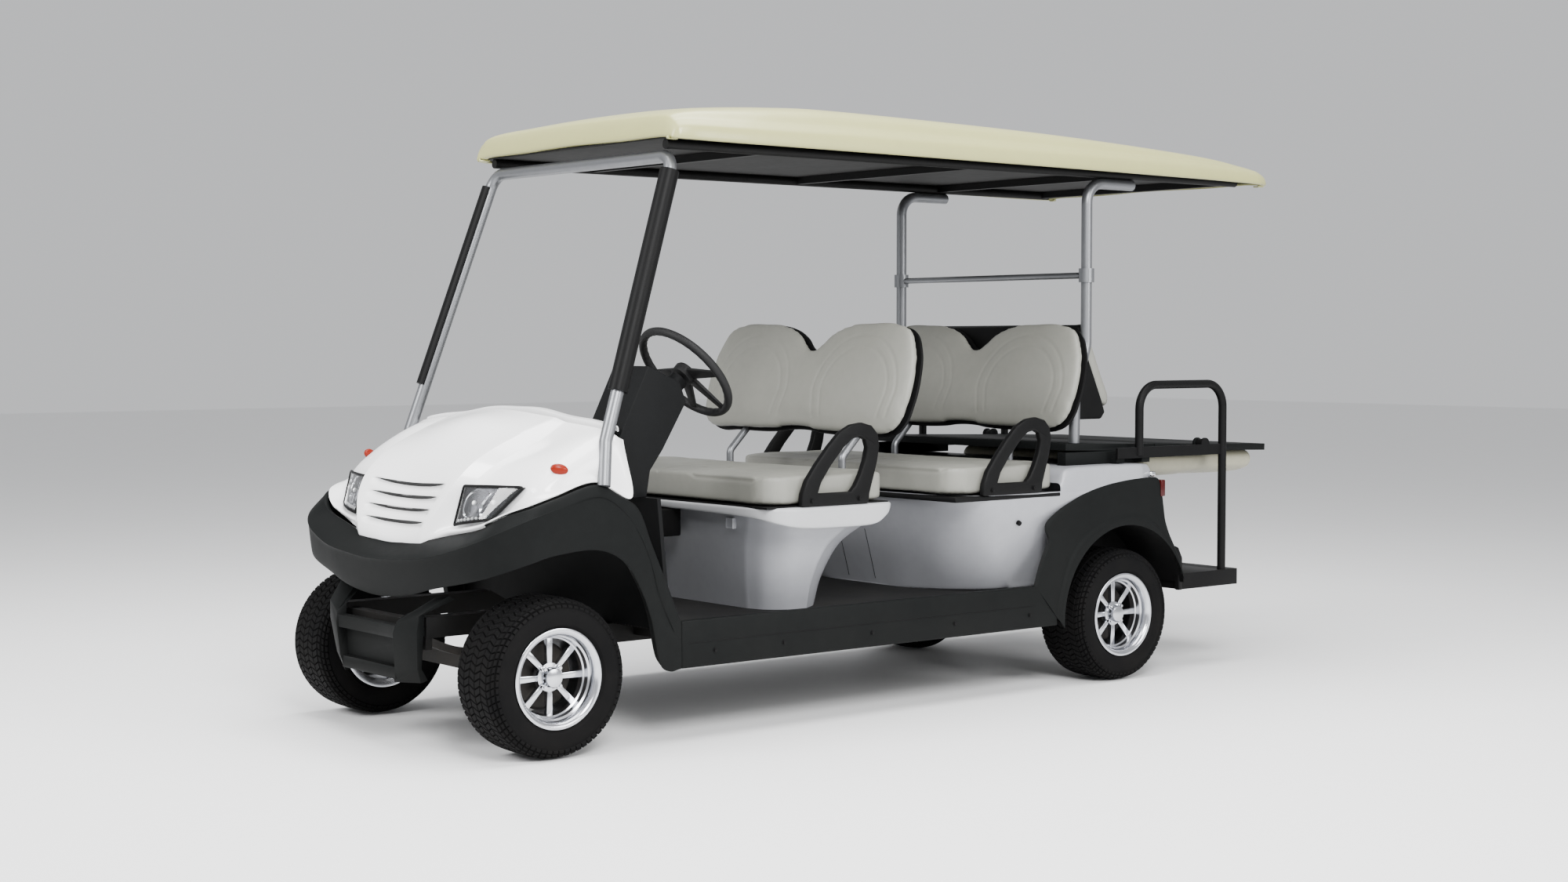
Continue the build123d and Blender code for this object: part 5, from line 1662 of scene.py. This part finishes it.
    def fittings(self) -> None:
        """Latch clip, key lock, sill bolts, panel seams, and black strips of painted shade in the sills'
        crease and the slot in the seat's rim.
        """
        clip = Piece.block("latch_clip", (0.330, -0.655, 0.596), (0.366, -0.637, 0.630))
        clip.faces(lambda face: face.normal.y < -0.9).inset(0.004, -0.003).done()
        clip.soften(0.003).finish(GREY_PANEL)
        lock = Piece.disc("key_lock", (0.5735, 0.393, 0.573), 0.0085, 0.012, (1, 0, -0.42), 24)
        lock.soften(0.001).finish(SHELL_BLACK)
        bolts = Bolts("sill_bolts", 0.0055, 0.003)
        for y in self.SILL_BOLTS:
            bolts.place((self.sill_x, y, self.sill_bolt_z))
        bolts.done(SHELL_BLACK)
        Piece.united("panel_seam", [self.seam_line(*ends) for ends in self.SEAMS]).finish(LINER)
        # Painted shade: a thin black strip stands in for the shadow in the sills' crease.
        crease = Piece.block("sill_crease", (0.594, -1.000, 0.2915), (0.6012, 0.440, 0.2945)).soften(0.001, 1)
        crease.both_sides().finish(SHELL_BLACK)
        # Painted shade: a black patch on the rim stands in for the shadow inside its slot.
        slot = Piece.block("rim_slot", (0.590, -0.456, 0.6275), (0.6012, -0.380, 0.6385)).soften(0.003)
        slot.both_sides().finish(SHELL_BLACK)


# ---- studio ----
@dataclass
class Studio:
    """Pale floor, soft light and the camera."""

    camera_place: Point = (5.7804, -4.8347, 1.180)
    camera_forward: Point = (-0.7762, 0.6289, -0.0453)
    lens: float = 50.6
    sensor: float = 36.0
    sky: Colour = (0.90, 0.91, 0.93)
    sky_strength: float = 0.76

    # name, place, target, side in metres, watts
    LAMPS = (
        ("key", (5.6, -3.0, 4.6), (0.2, -0.4, 0.6), 2.4, 660),
        ("top", (0.4, -0.4, 5.0), (0.0, -0.4, 1.0), 4.0, 520),
        ("side", (6.0, 1.6, 2.6), (0.2, 0.3, 0.7), 2.6, 250),
        ("front", (-0.6, -6.4, 4.2), (0.0, -1.2, 1.2), 2.6, 420),
    )

    def floor(self) -> None:
        """Plain pale floor under the wheels."""
        bpy.ops.mesh.primitive_plane_add(size=60, location=(0, 0, -0.0005))
        floor = Piece(bpy.context.object, "studio_floor")
        floor.obj.data.materials.append(FLOOR.paint())

    def lamp(self, name: str, place: Point, target: Point, size: float, power: float) -> None:
        """One square soft light, turned from its place to its target."""
        data = bpy.data.lights.new(name, "AREA")
        data.size = size
        data.energy = power
        self.aim(name, data, place, Vector(target) - Vector(place))

    def aim(self, name: str, data: bpy.types.ID, place: Point, forward: Vector) -> bpy.types.Object:
        """Puts a light or camera in the scene, looking forward."""
        obj = bpy.data.objects.new(name, data)
        bpy.context.collection.objects.link(obj)
        obj.location = place
        obj.rotation_euler = forward.to_track_quat("-Z", "Y").to_euler()
        return obj

    def camera(self) -> None:
        """The camera at its fixed place."""
        data = bpy.data.cameras.new("camera")
        data.lens = self.lens
        data.sensor_width = self.sensor
        data.clip_end = 100
        camera = self.aim("camera", data, self.camera_place, Vector(self.camera_forward))
        bpy.context.scene.camera = camera

    def build(self) -> None:
        """Sets the scene round the cart."""
        self.floor()
        world = bpy.data.worlds.new("studio_world")
        world.use_nodes = True
        background = world.node_tree.nodes["Background"].inputs
        background["Color"].default_value = (*self.sky, 1.0)
        background["Strength"].default_value = self.sky_strength
        bpy.context.scene.world = world
        for lamp in self.LAMPS:
            self.lamp(*lamp)
        self.camera()


def main() -> None:
    """Builds every sub-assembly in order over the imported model."""
    logging.basicConfig(level=logging.INFO, format="%(name)s: %(message)s")
    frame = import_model()
    FRAME_NODES.update(frame["nodes"])
    repaint_nodes(frame["nodes"])
    assemblies = (Wheel(), Nose(), Canopy(), Bodywork(), Armrests(), SteeringWheel(), RearWings(), Cushions())
    for assembly in (*MOULDINGS, *assemblies, Studio()):
        assembly.build()


if __name__ == "__main__":
    main()
